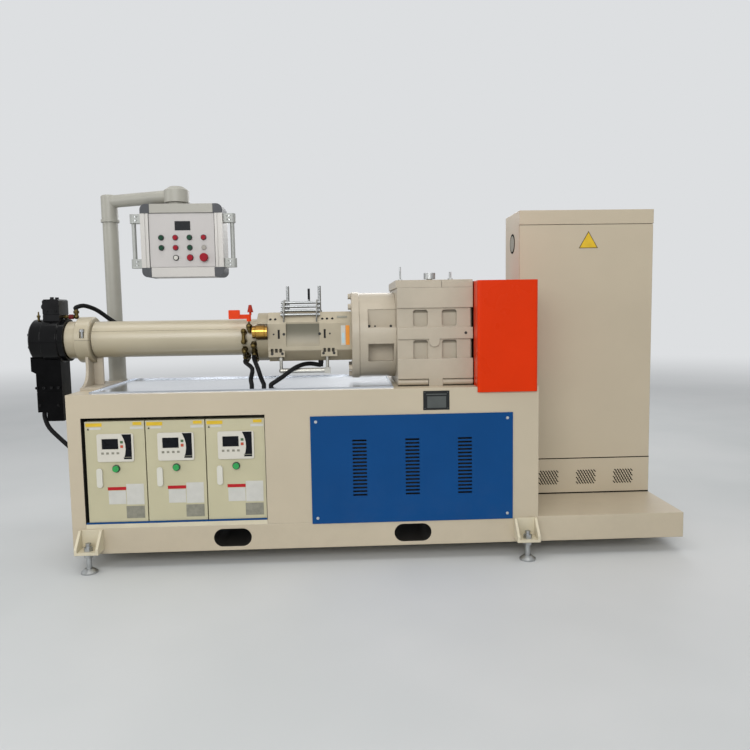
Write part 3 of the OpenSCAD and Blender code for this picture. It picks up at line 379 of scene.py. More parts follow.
def gearbox_painted_shadows(p):
    """Painted shadows under the upper edges of the gearbox's pockets and under its foot bars."""
    inner = p.axis("Y").size() < 0.2545
    shadow_under_foot_bars = (p.axis("Y").size() < 0.262) * inside(p, (223, -300, 814), (581, 300, 820))
    pocket_shadows = [inside(p, (left, -300, edge - 14), (right, 300, edge + 1)) * inner * 0.7
             for left, right in ((297, 370), (434, 507)) for edge in (1177, 1033)]
    return [(mask, rgb(112, 104, 88), 0.6) for mask in pocket_shadows] + [(shadow_under_foot_bars, rgb(70, 64, 52), 0.6)]


print("masks ready for the cream parts")

# %% [markdown]
# The cream paint is a two part machine enamel, sprayed over filler: a soft gloss with a faint
# orange peel. Castings keep a coarser skin under the paint than folded sheet does, turned parts
# are smoother, and the column of the operator panel was painted another day and is a little
# greyer. One material for all of them would look moulded, so these are eight mixes of one paint.

# %% Cream paints
sheet_cream = finish("cream_on_sheet", rgb(190, 178, 155), 0.42, coat=0.1, drift=0.03, drift_scale=1.4,
                     grain=420, depth=0.00006, dust=0.11, edge=0.004, edge_wear_and_highlight=rgb(216, 208, 191),
                     marks=painted_shade_inside, shine=0.4)
cast_cream = finish("cream_on_castings", rgb(179, 169, 151), 0.44, coat=0.08, drift=0.05, drift_scale=5.0,
                    grain=190, depth=0.00022, edge=0.005, edge_wear_and_highlight=rgb(212, 203, 186), marks=gearbox_painted_shadows,
                    shine=0.35)
housing_cream = finish("cream_on_the_housing", rgb(170, 160, 138), 0.44, coat=0.08, drift=0.06,
                       drift_scale=7.0, grain=190, depth=0.00018, edge=0.003,
                       edge_wear_and_highlight=rgb(206, 197, 178), marks=housing_painted_shade, shine=0.35)
turned_cream = finish("cream_on_turned_parts", rgb(180, 170, 146), 0.32, coat=0.2, drift=0.035,
                      drift_scale=3.0, grain=300, depth=0.00005, edge=0.002,
                      edge_wear_and_highlight=rgb(212, 205, 189), marks=underside_shade)
neck_cream = finish("cream_on_the_neck", rgb(156, 146, 122), 0.40, coat=0.1, drift=0.08, drift_scale=9.0,
                    grain=240, depth=0.0001, edge=0.002, edge_wear_and_highlight=rgb(196, 187, 166), marks=underside_shade)
# A lighter copy of the sheet cream for the brackets and the sill: painted light.
lightened_bracket_cream = finish("lightened_cream_on_the_brackets", rgb(206, 197, 172), 0.42, coat=0.1, drift=0.05,
                       drift_scale=9.0, grain=420, depth=0.00006, edge=0.003,
                       edge_wear_and_highlight=rgb(228, 221, 204), shine=0.4)
column_cream = finish("cream_on_the_column", rgb(161, 159, 149), 0.42, coat=0.08, drift=0.04, drift_scale=4.0,
                      grain=380, depth=0.00006, edge=0.002, edge_wear_and_highlight=rgb(192, 190, 180), shine=0.4)
unit_cream = finish("cream_on_the_units", rgb(188, 182, 151), 0.48, coat=0.05, drift=0.03, drift_scale=3.0,
                    grain=520, depth=0.00005, dust=0.1, edge=0.002, edge_wear_and_highlight=rgb(214, 209, 190), shine=0.4)
count = dress(sheet_cream, "chassis", "base_frame", "cabinet_body", "cabinet_plinth", "cabinet_door")
count += dress(cast_cream, "gearbox_bell", "gearbox_body", "gearbox_cover", "barrel_support")
count += dress(turned_cream, "barrel_jacket", "barrel_nose", "barrel_clamp")
count += dress(neck_cream, "neck_flange") + dress(housing_cream, "feed_housing")
count += dress(lightened_bracket_cream, "foot_brackets", "unit_sill")
count += dress(column_cream, "column", "swing_arm")
count += dress(unit_cream, "temp_unit_1", "temp_unit_2", "temp_unit_3")
print("solids in cream:", count)

# %% [markdown]
# The louvre panel is sprayed blue before it is screwed on, the belt guard is a glossy safety
# orange, and the lever of the water valve is dipped in orange plastic. Strong colours need a weak
# gloss here: a pale room reflected in the paint would wash the red out to pink. The guard's inner
# face gets painted shade where the gearbox leaves a gap in front of it.

# %% Blue panel, orange guard and lever
def guard_inner_shade(p):
    """The inner face that looks on to the gearbox gets painted shade."""
    return [((p.axis("X") < 0.5862) * (p.axis("Y").size() < 0.263), rgb(26, 16, 12), 0.7)]


def lever_marks(p):
    """The raised end of the lever is darker."""
    return [((p.axis("X") > -0.502) * (p.axis("Z") > 1.178), rgb(156, 44, 26), 0.5)]


panel_blue = finish("blue_on_the_louvres", rgb(8, 68, 124), 0.42, drift=0.05, drift_scale=2.0, grain=450,
                    depth=0.00006, dust=0.04, edge=0.0015, edge_wear_and_highlight=rgb(52, 98, 148), shine=0.12)
guard_orange = finish("orange_on_the_guard", rgb(214, 50, 0), 0.30, coat=0.08, drift=0.03, drift_scale=2.0,
                      grain=380, depth=0.00005, edge=0.006, edge_wear_and_highlight=rgb(226, 84, 34), shine=0.10,
                      marks=guard_inner_shade)
lever_orange = finish("orange_on_the_lever", rgb(222, 62, 14), 0.45, drift=0.06, drift_scale=20.0,
                      grain=260, depth=0.0001, shine=0.15, marks=lever_marks)
count = dress(panel_blue, "louvre_panel") + dress(guard_orange, "drive_guard")
count += dress(lever_orange, "valve_lever")
print("solids in strong colours:", count)

# %% [markdown]
# Bare metals differ in what was done to them last. The tray is polished sheet and mirrors the
# hoses, so it is smooth with long faint streaks; feet and plugs are zinc plated and dull; the
# guide bars are turned and shine. The brass fittings have gone brown in spots, while the sleeve
# beside them is bright in the middle, with painted shade above and below.

# %% Bare metals
def bar_marks(p):
    """The thin rod that stands behind the guide bars is black."""
    return [((p.axis("X") > -0.215) * (p.axis("Z") > 1.24) * (p.axis("Y") > 0.02), rgb(40, 40, 42), 0.5)]


def brown_spots(p):
    """Cloudy spots, where water has dried on the brass."""
    return [(p.noise(55.0, 4.0, 0.7).ramp(0.45, 0.68) * 0.75, rgb(46, 39, 27), 0.55)]


def sleeve_shade(p):
    """The sleeve gets painted shade, brown above and below, and is bright between."""
    return [(p.axis("Z").ramp(1.094, 1.104) * 0.8, rgb(86, 60, 30), 0.45),
            ((1 - p.axis("Z").ramp(1.058, 1.070)) * 0.85, rgb(46, 36, 24), 0.5)]


tray_steel = finish("polished_tray", rgb(204, 208, 214), 0.16, metal=1.0, drift=0.03, drift_scale=4.0,
                    grain=60, depth=0.00002, streak=(0.6, 14.0, 14.0))
zinc = finish("zinc_plating", rgb(172, 174, 174), 0.42, metal=1.0, drift=0.10, drift_scale=30.0,
              grain=300, depth=0.00005, edge=0.001)
bar_steel = finish("turned_bars", rgb(158, 160, 160), 0.28, metal=1.0, drift=0.08, drift_scale=18.0,
                   grain=240, depth=0.00004, streak=(1.0, 8.0, 8.0), edge=0.001, marks=bar_marks)
pipe_steel = finish("water_pipe_steel", rgb(178, 176, 168), 0.38, metal=0.9, drift=0.12,
                    drift_scale=14.0, grain=220, depth=0.00006, edge=0.001)
brass = finish("worn_brass", rgb(96, 82, 48), 0.32, metal=1.0, drift=0.22, drift_scale=34.0, grain=260,
               depth=0.00008, edge=0.001, edge_wear_and_highlight=rgb(222, 204, 150), marks=brown_spots)
sleeve_brass = finish("polished_brass", rgb(196, 152, 74), 0.22, metal=1.0, drift=0.12,
                      drift_scale=25.0, grain=200, depth=0.00005, edge=0.001,
                      edge_wear_and_highlight=rgb(238, 212, 142), marks=sleeve_shade)
bracket_steel = finish("bracket_steel", rgb(122, 122, 118), 0.40, metal=0.8, drift=0.10,
                       drift_scale=20.0, grain=240, depth=0.00006, edge=0.001, edge_wear_and_highlight=rgb(170, 170, 166))
count = dress(tray_steel, "drip_tray") + dress(zinc, "levelling_feet", "gearbox_plugs")
count += dress(bar_steel, "guide_bars") + dress(bracket_steel, "guide_brackets")
count += dress(pipe_steel, "cooling_pipe") + dress(sleeve_brass, "water_sleeve")
count += dress(brass, "water_fittings", "water_valve")
print("solids of bare metal:", count)

# %% [markdown]
# The crosshead is blackened steel that is wiped with oil, so it is very dark with hard narrow
# highlights and brown patches where the oil has baked. One black would hide its steps: the drum
# is turned and polished, the block above it is oily, and the lower body is matt. Rubber hose is
# dark too, but dull, with the fine ribs of its wrapping.

# %% Blackened steel and rubber
def baked_oil(p):
    """Brown patches on the black steel."""
    return [(p.noise(24.0, 5.0, 0.7).ramp(0.55, 0.75) * 0.4, rgb(30, 26, 22), 0.5)]


black_steel = finish("oiled_black_steel", rgb(21, 21, 22), 0.22, coat=0.15, drift=0.25, drift_scale=16.0,
                     grain=160, depth=0.0002, edge=0.003, edge_wear_and_highlight=rgb(56, 56, 58), shine=0.12,
                     marks=baked_oil)
drum_black = finish("polished_black_steel", rgb(10, 10, 11), 0.12, drift=0.2, drift_scale=16.0, grain=160,
                    depth=0.00002, edge=0.003, edge_wear_and_highlight=rgb(64, 64, 66), shine=0.17)
head_black = finish("matt_black_steel", rgb(7, 7, 8), 0.34, drift=0.25, drift_scale=16.0, grain=160,
                    depth=0.0002, edge=0.002, edge_wear_and_highlight=rgb(40, 40, 42), shine=0.06)
rubber = finish("wrapped_rubber", rgb(14, 14, 15), 0.50, drift=0.15, drift_scale=12.0, grain=120,
                depth=0.0004, streak=(3.0, 3.0, 9.0), shine=0.15)
count = dress(black_steel, "head_block") + dress(drum_black, "head_drum")
count += dress(head_black, "head_lower") + dress(rubber, "water_hoses", "head_hoses")
print("black solids:", count)

# %% [markdown]
# Some solids hold several small mouldings of different colour, such as the push buttons. They
# could be cut apart into pieces, but a mask is enough: each button sits on a regular grid, so the
# coordinates are folded by the grid's pitch, the distance from the nearest button's middle is
# measured, and the colour is chosen by column and row.

# %% Masks for the lamps and the push buttons
unit_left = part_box("temp_unit_1")[0][0]
unit_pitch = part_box("temp_unit_2")[0][0] - unit_left
button_x, button_z = -0.9469, 1.4608
column_pitch, row_pitch = 0.071, 0.0505
lamp_in_unit, lamp_height = 0.135, 0.470


def lamp_marks(p):
    """Each unit's lamp has a dark rim and a green cap."""
    across = (p.axis("X") - unit_left) % unit_pitch - lamp_in_unit
    over = p.axis("Z") - lamp_height
    away = (across * across + over * over).root()
    return [(away < 0.0215, rgb(54, 60, 54), 0.35), (away < 0.0142, rgb(38, 150, 74), 0.2)]


def button_marks(p):
    """Buttons are red where no mask reaches them; rows are counted from below."""
    column = (p.axis("X") - button_x + column_pitch / 2) / column_pitch
    row = (p.axis("Z") - button_z + row_pitch / 2) / row_pitch
    across = (column % 1.0 - 0.5) * column_pitch
    over = (row % 1.0 - 0.5) * row_pitch
    away = (across * across + over * over).root()
    upper = row > 1.0
    lowest = row < 1.0
    green = upper * ((column % 2.0) < 1.0)
    grey = upper * (row < 2.0) * (column > 3.0)
    chooser = lowest * (column < 2.0)
    white_cap = chooser * (away < 0.0105)
    ring = (away > 0.0115) * upper + (away > 0.0148) * lowest * (column > 2.0) * (column < 3.0)
    return [(green, rgb(18, 62, 42), 0.35), (grey, rgb(160, 156, 148), 0.4), (chooser, rgb(26, 26, 28), 0.35),
            (white_cap, rgb(200, 198, 190), 0.35), (ring.ramp(0.3, 0.7), rgb(84, 80, 82), 0.4)]


print("units start at", round(unit_left, 3), "and follow every", round(unit_pitch, 3), "m")

# %% [markdown]
# Plastics carry their colour through the material and have an even, soft shine. The case of the
# operator panel is coated aluminium with fine upright lines, its header is a little darker, and
# the grips are rough castings. The last line proves that no solid was forgotten.

# %% Plastics and the case of the operator panel
def header_marks(p):
    """The header above the panel's face is darker than the case."""
    return [((p.axis("Z") > 1.684) * 0.8, rgb(146, 144, 134), 0.5)]


white_plastic = finish("white_mouldings", rgb(204, 200, 188), 0.48, drift=0.02, drift_scale=10.0, grain=600,
                       depth=0.00003, edge=0.0012)
gauge_plastic = finish("gauges_and_lamps", rgb(206, 204, 192), 0.42, drift=0.02, drift_scale=10.0, grain=500,
                       depth=0.00002, edge=0.001, marks=lamp_marks)
face_plastic = finish("panel_face_sheet", rgb(186, 182, 179), 0.52, drift=0.02, drift_scale=8.0, grain=700,
                      depth=0.00002, edge=0.001)
case_metal = finish("panel_aluminium", rgb(182, 179, 174), 0.42, metal=0.2, drift=0.03, drift_scale=6.0,
                    grain=140, depth=0.00003, streak=(10.0, 10.0, 0.8), edge=0.0015, marks=header_marks)
grip_metal = finish("grip_castings", rgb(160, 162, 158), 0.48, metal=0.3, drift=0.08, drift_scale=22.0,
                    grain=260, depth=0.0001, edge=0.002)
corner_plastic = finish("corner_mouldings", rgb(58, 60, 64), 0.50, drift=0.08, drift_scale=16.0, grain=420,
                        depth=0.0001, edge=0.002, edge_wear_and_highlight=rgb(98, 100, 104))
button_plastic = finish("push_buttons", rgb(146, 12, 32), 0.34, drift=0.04, drift_scale=60.0, grain=500,
                        depth=0.00001, edge=0.0006, marks=button_marks, shine=0.12)
count = dress(white_plastic, "unit_controllers") + dress(gauge_plastic, "unit_gauges")
count += dress(case_metal, "panel_box") + dress(face_plastic, "panel_face")
count += dress(grip_metal, "panel_handles") + dress(corner_plastic, "panel_corners")
count += dress(button_plastic, "panel_buttons")
print("solids of the units and the panel:", count)
undressed = [name for name, solid in solids.items() if solid.data.materials[0].name not in finishes]
print("solids without a finish:", undressed)

# %% [markdown]
# The small things are made with bmesh. A block and a rod are enough for most of them, if they can
# be placed by their corners or by a point and a direction, in millimetres as on a drawing, and if
# their edges can be rounded, because a sharp edge never catches light. Most pieces that sit on a
# flat side are placed from the corners of that solid, so that they neither float nor sink in.

# %% Blocks and rods
def corners_mm(name):
    """The lowest and the highest corner of a solid of the frame, in mm."""
    return [Vector(corner) * 1000 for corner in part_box(name)]


def aimed(point, towards):
    """A place at a point in mm whose Z axis looks in a direction."""
    spin = Vector(towards).to_track_quat("Z", "Y").to_matrix().to_4x4()
    return Matrix.Translation(Vector(point) / 1000) @ spin


def block(bm, low, high, edge=0.0, turn=None):
    """A box between two corners in mm, with rounded edges, turned about its middle."""
    low, high = Vector(low) / 1000, Vector(high) / 1000
    place = Matrix.Translation((low + high) / 2)
    if turn:
        place = place @ turn
    made = bmesh.ops.create_cube(bm, size=1, matrix=place @ Matrix.Diagonal((*(high - low), 1)))
    if edge:
        edges = list({e for v in made["verts"] for e in v.link_edges})
        bmesh.ops.bevel(bm, geom=edges, offset=edge / 1000, affect="EDGES", segments=2, profile=0.5,
                        material=-1, clamp_overlap=True)


def rod(bm, point, towards, length, wide, narrow=None, sides=24, edge=0.0):
    """A round bar from a point; returns the face at its far end, for bars without an edge."""
    place = aimed(point, towards) @ Matrix.Translation((0, 0, length / 2000))
    made = bmesh.ops.create_cone(bm, cap_ends=True, segments=sides, radius1=wide / 2000,
                                 radius2=(narrow or wide) / 2000, depth=length / 1000, matrix=place)
    caps = {f for v in made["verts"] for f in v.link_faces if len(f.verts) == sides}
    outward = Vector(towards).normalized()
    far = max(caps, key=lambda f: f.calc_center_median().dot(outward))
    if edge:
        bmesh.ops.bevel(bm, geom=list(far.edges), offset=edge / 1000, affect="EDGES", segments=2,
                        profile=0.5, material=-1, clamp_overlap=True)
    return far


print("the louvre panel's corners in mm:", [[round(v, 1) for v in c] for c in corners_mm("louvre_panel")])

# %% [markdown]
# Two kinds of screw hold the machine together: cap screws with a sunk hexagon, and hexagon heads
# on a washer. At this size nobody counts the sides of a sunk hexagon, so it is a round well, made
# by an inset and a push. Each finished piece rides on a body and is made of one of the finishes
# above.

# %% Screws and finished pieces
pieces_made = []


def sink_face(bm, face, rim, down, towards):
    """Insets a face and pushes it in, both in mm."""
    bmesh.ops.inset_individual(bm, faces=[face], thickness=rim / 1000, depth=0)
    grown = bmesh.ops.extrude_discrete_faces(bm, faces=[face])["faces"][0]
    bmesh.ops.translate(bm, verts=grown.verts, vec=-Vector(towards).normalized() * down / 1000)


def socket_screw(bm, point, towards, head):
    """A cap screw with a round head of this diameter and a well for the key."""
    top = rod(bm, point, towards, head * 0.62, head, sides=14)
    sink_face(bm, top, head * 0.22, head * 0.4, towards)


def hex_screw(bm, point, towards, across, washer=True):
    """A hexagon head on a washer; across is the size of its key."""
    if washer:
        rod(bm, point, towards, across * 0.12, across * 1.5, sides=16)
    rod(bm, point, towards, across * 0.7, across * 1.15, sides=6)


def piece(bm, name, material, body="frame"):
    """Turns a bmesh into a piece that rides on a body and is made of a material."""
    bmesh.ops.recalc_face_normals(bm, faces=bm.faces)
    mesh = bpy.data.meshes.new(name)
    bm.to_mesh(mesh)
    bm.free()
    mesh.materials.append(material)
    made = bpy.data.objects.new(name, mesh)
    bpy.context.scene.collection.objects.link(made)
    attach(made, body)
    pieces_made.append(made)
    print(f"{name}: {len(mesh.polygons)} faces")


print("screw helpers ready")

# %% [markdown]
# The base carries one plate near the gearbox, held by four rivets. The plate on a real machine is
# etched; this one is left bare, black with a brushed silver field. The louvre panel is held by
# four small bright screws, one near each corner.

# %% Rating plate and panel screws
plate_black = finish("plate_black", rgb(32, 34, 34), 0.40, drift=0.06, drift_scale=30.0, grain=500,
                     depth=0.00002, shine=0.2)
plate_silver = finish("brushed_plate", rgb(80, 84, 82), 0.42, metal=0.5, drift=0.06, drift_scale=20.0,
                      grain=160, depth=0.00003, streak=(0.5, 10.0, 10.0))
bright_screw = finish("bright_screws", rgb(190, 192, 192), 0.36, metal=0.9, drift=0.06, drift_scale=50.0,
                      grain=300, depth=0.00002)
base_front = corners_mm("base_frame")[0].y
left, right, low, high = 331, 454, 712, 802
bm = bmesh.new()
block(bm, (left, base_front - 1.6, low), (right, base_front - 0.05, high), edge=0.5)
piece(bm, "rating_plate", plate_black)
bm = bmesh.new()
block(bm, (left + 19, base_front - 2, low + 10), (right - 16, base_front - 1.5, high - 26), edge=0.2)
block(bm, (left + 15, base_front - 1.9, high - 19), (right - 14, base_front - 1.5, high - 14), edge=0.1)
for x in (left + 8, right - 8):
    for z in (low + 8, high - 8):
        rod(bm, (x, base_front - 1.5, z), (0, -1, 0), 1.6, 5, 3, sides=12)
piece(bm, "rating_plate_field", plate_silver)
bm = bmesh.new()
panel_low, panel_high = corners_mm("louvre_panel")
for x in (panel_low.x + 26, panel_high.x - 26):
    for z in (panel_low.z + 27, panel_high.z - 26):
        rod(bm, (x, panel_low.y, z), (0, -1, 0), 0.8, 14, sides=20)
        socket_screw(bm, (x, panel_low.y - 0.6, z), (0, -1, 0), 8)
piece(bm, "louvre_screws", bright_screw)

# %% [markdown]
# The fronts of the temperature units carry displays, keys and printed plates. On the real ones
# they stand out by less than a millimetre, so each is a thin plate with a finish of its own, and
# what is printed on it stays off. A dark field has a curved edge, so it is one flat polygon that
# is pushed out a little.

# %% Plates and displays
display_glass = finish("display_glass", rgb(15, 17, 22), 0.30, drift=0.2, drift_scale=40.0, grain=300,
                       depth=0.00001, shine=0.12)
label_white = finish("bare_white_plate", rgb(196, 195, 188), 0.55, drift=0.03, drift_scale=30.0, grain=600,
                     depth=0.00002, shine=0.3)
label_red = finish("red_plate", rgb(176, 18, 28), 0.45, drift=0.06, drift_scale=30.0, grain=600,
                   depth=0.00002, shine=0.3)
label_yellow = finish("yellow_plate", rgb(214, 178, 44), 0.5, drift=0.06, drift_scale=30.0, grain=600,
                      depth=0.00002, shine=0.3)
label_grey = finish("grey_plate", rgb(138, 136, 122), 0.45, metal=0.3, drift=0.12, drift_scale=60.0,
                    grain=300, depth=0.00003, streak=(0.5, 8.0, 8.0))
key_green = finish("green_key", rgb(64, 96, 58), 0.4, drift=0.05, drift_scale=50.0, grain=500, depth=0.00002)
key_red = finish("red_key", rgb(178, 70, 40), 0.4, drift=0.05, drift_scale=50.0, grain=500, depth=0.00002)
unit_lefts = [corners_mm(name)[0].x for name in ("temp_unit_1", "temp_unit_2", "temp_unit_3")]
unit_front = corners_mm("temp_unit_1")[0].y
bezel = corners_mm("unit_controllers")[0].y + 0.1


def plate(bm, x, left, right, low, high, y=unit_front, thick=0.8, edge=0.2):
    """A thin plate on the plane y, with its sides counted from the unit's left edge x."""
    block(bm, (x + left, y - thick, low), (x + right, y + 0.05, high), edge=edge)


def flat_outline(bm, outline, y, thick):
    """A flat shape from (x, z) points in mm, pushed out towards the front."""
    corners = [bm.verts.new((x / 1000, y / 1000, z / 1000)) for x, z in outline]
    grown = bmesh.ops.extrude_face_region(bm, geom=[bm.faces.new(corners)])["geom"]
    pushed = [v for v in grown if isinstance(v, bmesh.types.BMVert)]
    bmesh.ops.translate(bm, verts=pushed, vec=(0, -thick / 1000, 0))


print("front of the units at y =", round(unit_front, 1), "and of their controllers at", round(bezel, 1))

# %% [markdown]
# Each temperature unit has the same front: a controller with a dark display and two small keys, a
# dark field on the right of it, and a few bare plates above and below. What repeats is written
# once, in a loop over the left edges of the three units, so that all three stay alike. Pieces of
# one finish share one mesh. A blue line runs along the sill under all three.

# %% Fronts of the temperature units
kinds = ("glass", "white", "red", "yellow", "grey", "green_key", "red_key", "sill_line")
fronts = {kind: bmesh.new() for kind in kinds}
for x in unit_lefts:
    plate(fronts["glass"], x, 76.5, 150, 562, 609.5, bezel + 2, 0.8)
    curved = [(x + 187 - 14 * t * t - 3 * (1 - t), 572 - 58 * t) for t in (-1, -0.6, -0.2, 0.2, 0.6, 1)]
    flat_outline(fronts["glass"], curved + [(x + 211, 514), (x + 211, 630)], bezel, 0.6)
    plate(fronts["grey"], x, 172, 211, 522, 524.5, bezel - 0.5, 0.4)
    plate(fronts["green_key"], x, 160, 173, 588, 600, bezel, 1.2, 0.4)
    plate(fronts["red_key"], x, 160, 173, 567, 580, bezel, 1.2, 0.4)
    for left in (72, 95, 119, 142):
        plate(fronts["grey"], x, left, left + 12, 538, 548, bezel, 0.9, 0.4)
    plate(fronts["yellow"], x, 5, 78, 667, 683)
    plate(fronts["yellow"], x, 218, 258, 671, 685)
    plate(fronts["white"], x, 22, 73, 653, 663)
    plate(fronts["white"], x, 206, 266, 653, 664)
    flat_outline(fronts["glass"], [(x + 10, 651), (x + 20, 651), (x + 15, 660)], unit_front + 0.05, 0.6)
    plate(fronts["red"], x, 91, 175, 368, 383)
    plate(fronts["white"], x, 94, 173, 302, 366)
    plate(fronts["white"], x, 176, 256, 299, 396)
    plate(fronts["grey"], x, 172, 256, 234, 292)
plate(fronts["sill_line"], 0, -1240, -407, 210.3, 217.5, unit_front - 0.1, 6.0)
piece(fronts["glass"], "unit_displays", display_glass)
piece(fronts["white"], "unit_white_plates", label_white)
piece(fronts["red"], "unit_red_bars", label_red)
piece(fronts["yellow"], "unit_yellow_plates", label_yellow)
piece(fronts["grey"], "unit_grey_plates", label_grey)
piece(fronts["green_key"], "unit_green_keys", key_green)
piece(fronts["red_key"], "unit_red_keys", key_red)
piece(fronts["sill_line"], "unit_blue_line", panel_blue)

# %% [markdown]
# The cabinet breathes through three fields of slanted slots in its plinth. A real slot is a hole,
# but the plinth is a solid block here, so each slot is a thin dark bar of painted shade, turned by
# 45 degrees. Rows are staggered by half a pitch, as on perforated sheet. The bars repeat many
# times, so each has only six faces. Two dark lines mark the joint between door and plinth, and a
# painted shadow at the plinth's foot.

# %% Vents and joints of the cabinet
slot_dark = finish("slot_shadow", rgb(24, 21, 18), 0.8, drift=0.1, drift_scale=60.0, grain=400,
                   depth=0.00002, shine=0.1)
plinth_low, plinth_high = corners_mm("cabinet_plinth")
slot_rows, slots_in_row = 6, 7
slot_pitch, slot_row_pitch = 14.4, 12.6
half_length, half_width = 8.2, 2.6
lowest_slot = plinth_low.z + 57
tilt = Matrix.Rotation(math.radians(45), 4, "Y")
slots = bmesh.new()
for first_slot in (993, 1194, 1394):
    for row in range(slot_rows):
        for column in range(slots_in_row):
            x = first_slot + (column + 0.5 * (row % 2)) * slot_pitch
            z = lowest_slot + row * slot_row_pitch
            block(slots, (x - half_length, plinth_low.y - 0.8, z - half_width),
                  (x + half_length, plinth_low.y + 0.1, z + half_width), turn=tilt)
piece(slots, "vent_slots", slot_dark)
left, right = plinth_low.x + 0.5, plinth_high.x - 0.5
bm = bmesh.new()
block(bm, (left, plinth_low.y - 1.1, plinth_high.z - 2), (right, plinth_low.y + 0.1, plinth_high.z + 3.5))
block(bm, (left, plinth_low.y - 0.8, plinth_low.z + 0.2), (right, plinth_low.y + 0.1, plinth_low.z + 7))
piece(bm, "cabinet_joint_and_shadow", slot_dark)

# %% [markdown]
# High on the cabinet's door is a yellow triangle with a black border, left bare here: one flat
# shape on a slightly larger one. Its points come from a turn by thirds, so the sides are equal.
# The cabinet's left side has a round hand hole, a dark disc with a smaller grey one on it.

# %% A bare triangle and the hand hole
cabinet_low = corners_mm("cabinet_body")[0]
hole_y, hole_z = 193, 1522


def triangle(bm, reach, y, thick):
    """A flat triangle round one middle; reach is the distance from there to a corner."""
    middle_x, middle_z = 1239, 1511
    turns = (0, math.tau / 3, 2 * math.tau / 3)
    points = [(middle_x + reach * math.sin(a), middle_z + reach * math.cos(a)) for a in turns]
    flat_outline(bm, points, y, thick)


bm = bmesh.new()
triangle(bm, 58, cabinet_low.y, 0.5)
piece(bm, "cabinet_plate_border", plate_black)
bm = bmesh.new()
triangle(bm, 52, cabinet_low.y - 0.4, 0.4)
piece(bm, "cabinet_yellow_plate", label_yellow)
bm = bmesh.new()
rod(bm, (cabinet_low.x - 0.05, hole_y, hole_z), (-1, 0, 0), 1.2, 104, sides=40)
piece(bm, "cabinet_hand_hole", slot_dark)
bm = bmesh.new()
rod(bm, (cabinet_low.x - 1.1, hole_y, hole_z), (-1, 0, 0), 0.8, 84, sides=40)
piece(bm, "hand_hole_back", label_grey)

# %% [markdown]
# Along the barrel every joint is bolted. The clamp's two halves are pulled together by a bolt in a
# pocket on each side; the wells of the cap screws and holes, on the feed housing and the gearbox,
# are flat dark discs of painted shade; the gearbox flange is held by large painted bolts from the left.

# %% Bolts of the clamp, the feed housing and the gearbox
# The wells are flat dark discs: painted shade where a hole would be.
well_shade = finish("screw_well_shade", rgb(30, 28, 26), 0.6, drift=0.2, drift_scale=80.0, grain=300, depth=0.00003)
screw_axis = 1055
clamp_x, clamp_y = -1306, 103
housing_side = corners_mm("feed_housing")[1].y - 0.1
gearbox_side = corners_mm("gearbox_body")[1].y - 0.1
flange_face = corners_mm("gearbox_bell")[0].x
flange_radius = 196
slope_screws = (-392, -368, -137, -114, -88)
bm = bmesh.new()
for side in (-1, 1):
    rod(bm, (clamp_x, side * clamp_y, 1066.5), (0, 0, 1), 42, 12, sides=16)
    hex_screw(bm, (clamp_x, side * clamp_y, 1096), (0, 0, 1), 17)
piece(bm, "clamp_bolts", zinc)
bm = bmesh.new()
for side in (-1, 1):
    for x, wide in ((-376, 9), (-326, 14), (-151, 14), (-101, 9)):
        rod(bm, (x, side * housing_side, 1069), (0, side, 0), 0.6, wide, sides=20)
    for x in slope_screws:
        rod(bm, (x, side * 99, 1142), (0, side, 1), 0.6, 13, sides=20)
    for x in (-386, -336, -134, -82):
        rod(bm, (x, side * 118, 973), (0, side, 0), 0.6, 14, sides=20)
    rod(bm, (547, side * gearbox_side, 1066), (0, side, 0), 0.6, 14, sides=20)
    for x, wide in ((91, 14), (120, 9), (197, 13)):
        rod(bm, (x, side * 165, 1102), (0, side, 0), 0.6, wide, sides=20)
piece(bm, "screw_well_shade", well_shade)
bm = bmesh.new()
for side in (-1, 1):
    for x in slope_screws:
        socket_screw(bm, (x, side * 98.5, 1141.5), (0, side, 1), 8)
piece(bm, "housing_screws", black_steel)
bm = bmesh.new()
for angle in (90, 47, 133, -53, -90, -127):
    y = flange_radius * math.cos(math.radians(angle))
    z = screw_axis + flange_radius * math.sin(math.radians(angle))
    hex_screw(bm, (flange_face, -y, z), (-1, 0, 0), 24)
piece(bm, "flange_bolts", cast_cream)

# %% [markdown]
# Beside the gearbox flange the feed housing has an amber plate and a white one with a pale blue
# strip, and a smaller grey plate above them on the slope. All of them are left bare. A plate on a
# slope is a block turned by the slope's angle.

# %% Plates on the feed housing
orange_plate = finish("amber_plate", rgb(222, 140, 32), 0.45, drift=0.06, drift_scale=40.0, grain=500,
                      depth=0.00002)
blue_plate = finish("pale_blue_plate", rgb(176, 206, 216), 0.45, drift=0.06, drift_scale=40.0, grain=500,
                    depth=0.00002)
plate_low, plate_high = 1012, 1108
plate_back, plate_front = -housing_side, -housing_side - 0.8
slope = Matrix.Rotation(math.radians(-45), 4, "X")
bm = bmesh.new()
block(bm, (-23, plate_front, plate_low), (-4, plate_back, plate_high), edge=0.2)
piece(bm, "housing_amber_plate", orange_plate)
bm = bmesh.new()
block(bm, (-46, plate_front, plate_low), (-25, plate_back, plate_high), edge=0.2)
piece(bm, "housing_white_plate", label_white)
bm = bmesh.new()
block(bm, (-41, plate_front - 0.3, 1022), (-30, plate_front + 0.2, 1072), edge=0.1)
piece(bm, "housing_blue_strip", blue_plate)
bm = bmesh.new()
block(bm, (-65, -93.6, 1143), (-15, -92.6, 1157), edge=0.2, turn=slope)
piece(bm, "housing_grey_plate", label_grey)

# %% [markdown]
# The crosshead has cap screws round its front and on its sides, hexagon bolts in the upper block,
# and a brass nipple on the drum. The ring of screws is a loop over eight angles. The union to the
# barrel's elbow has a red collar.

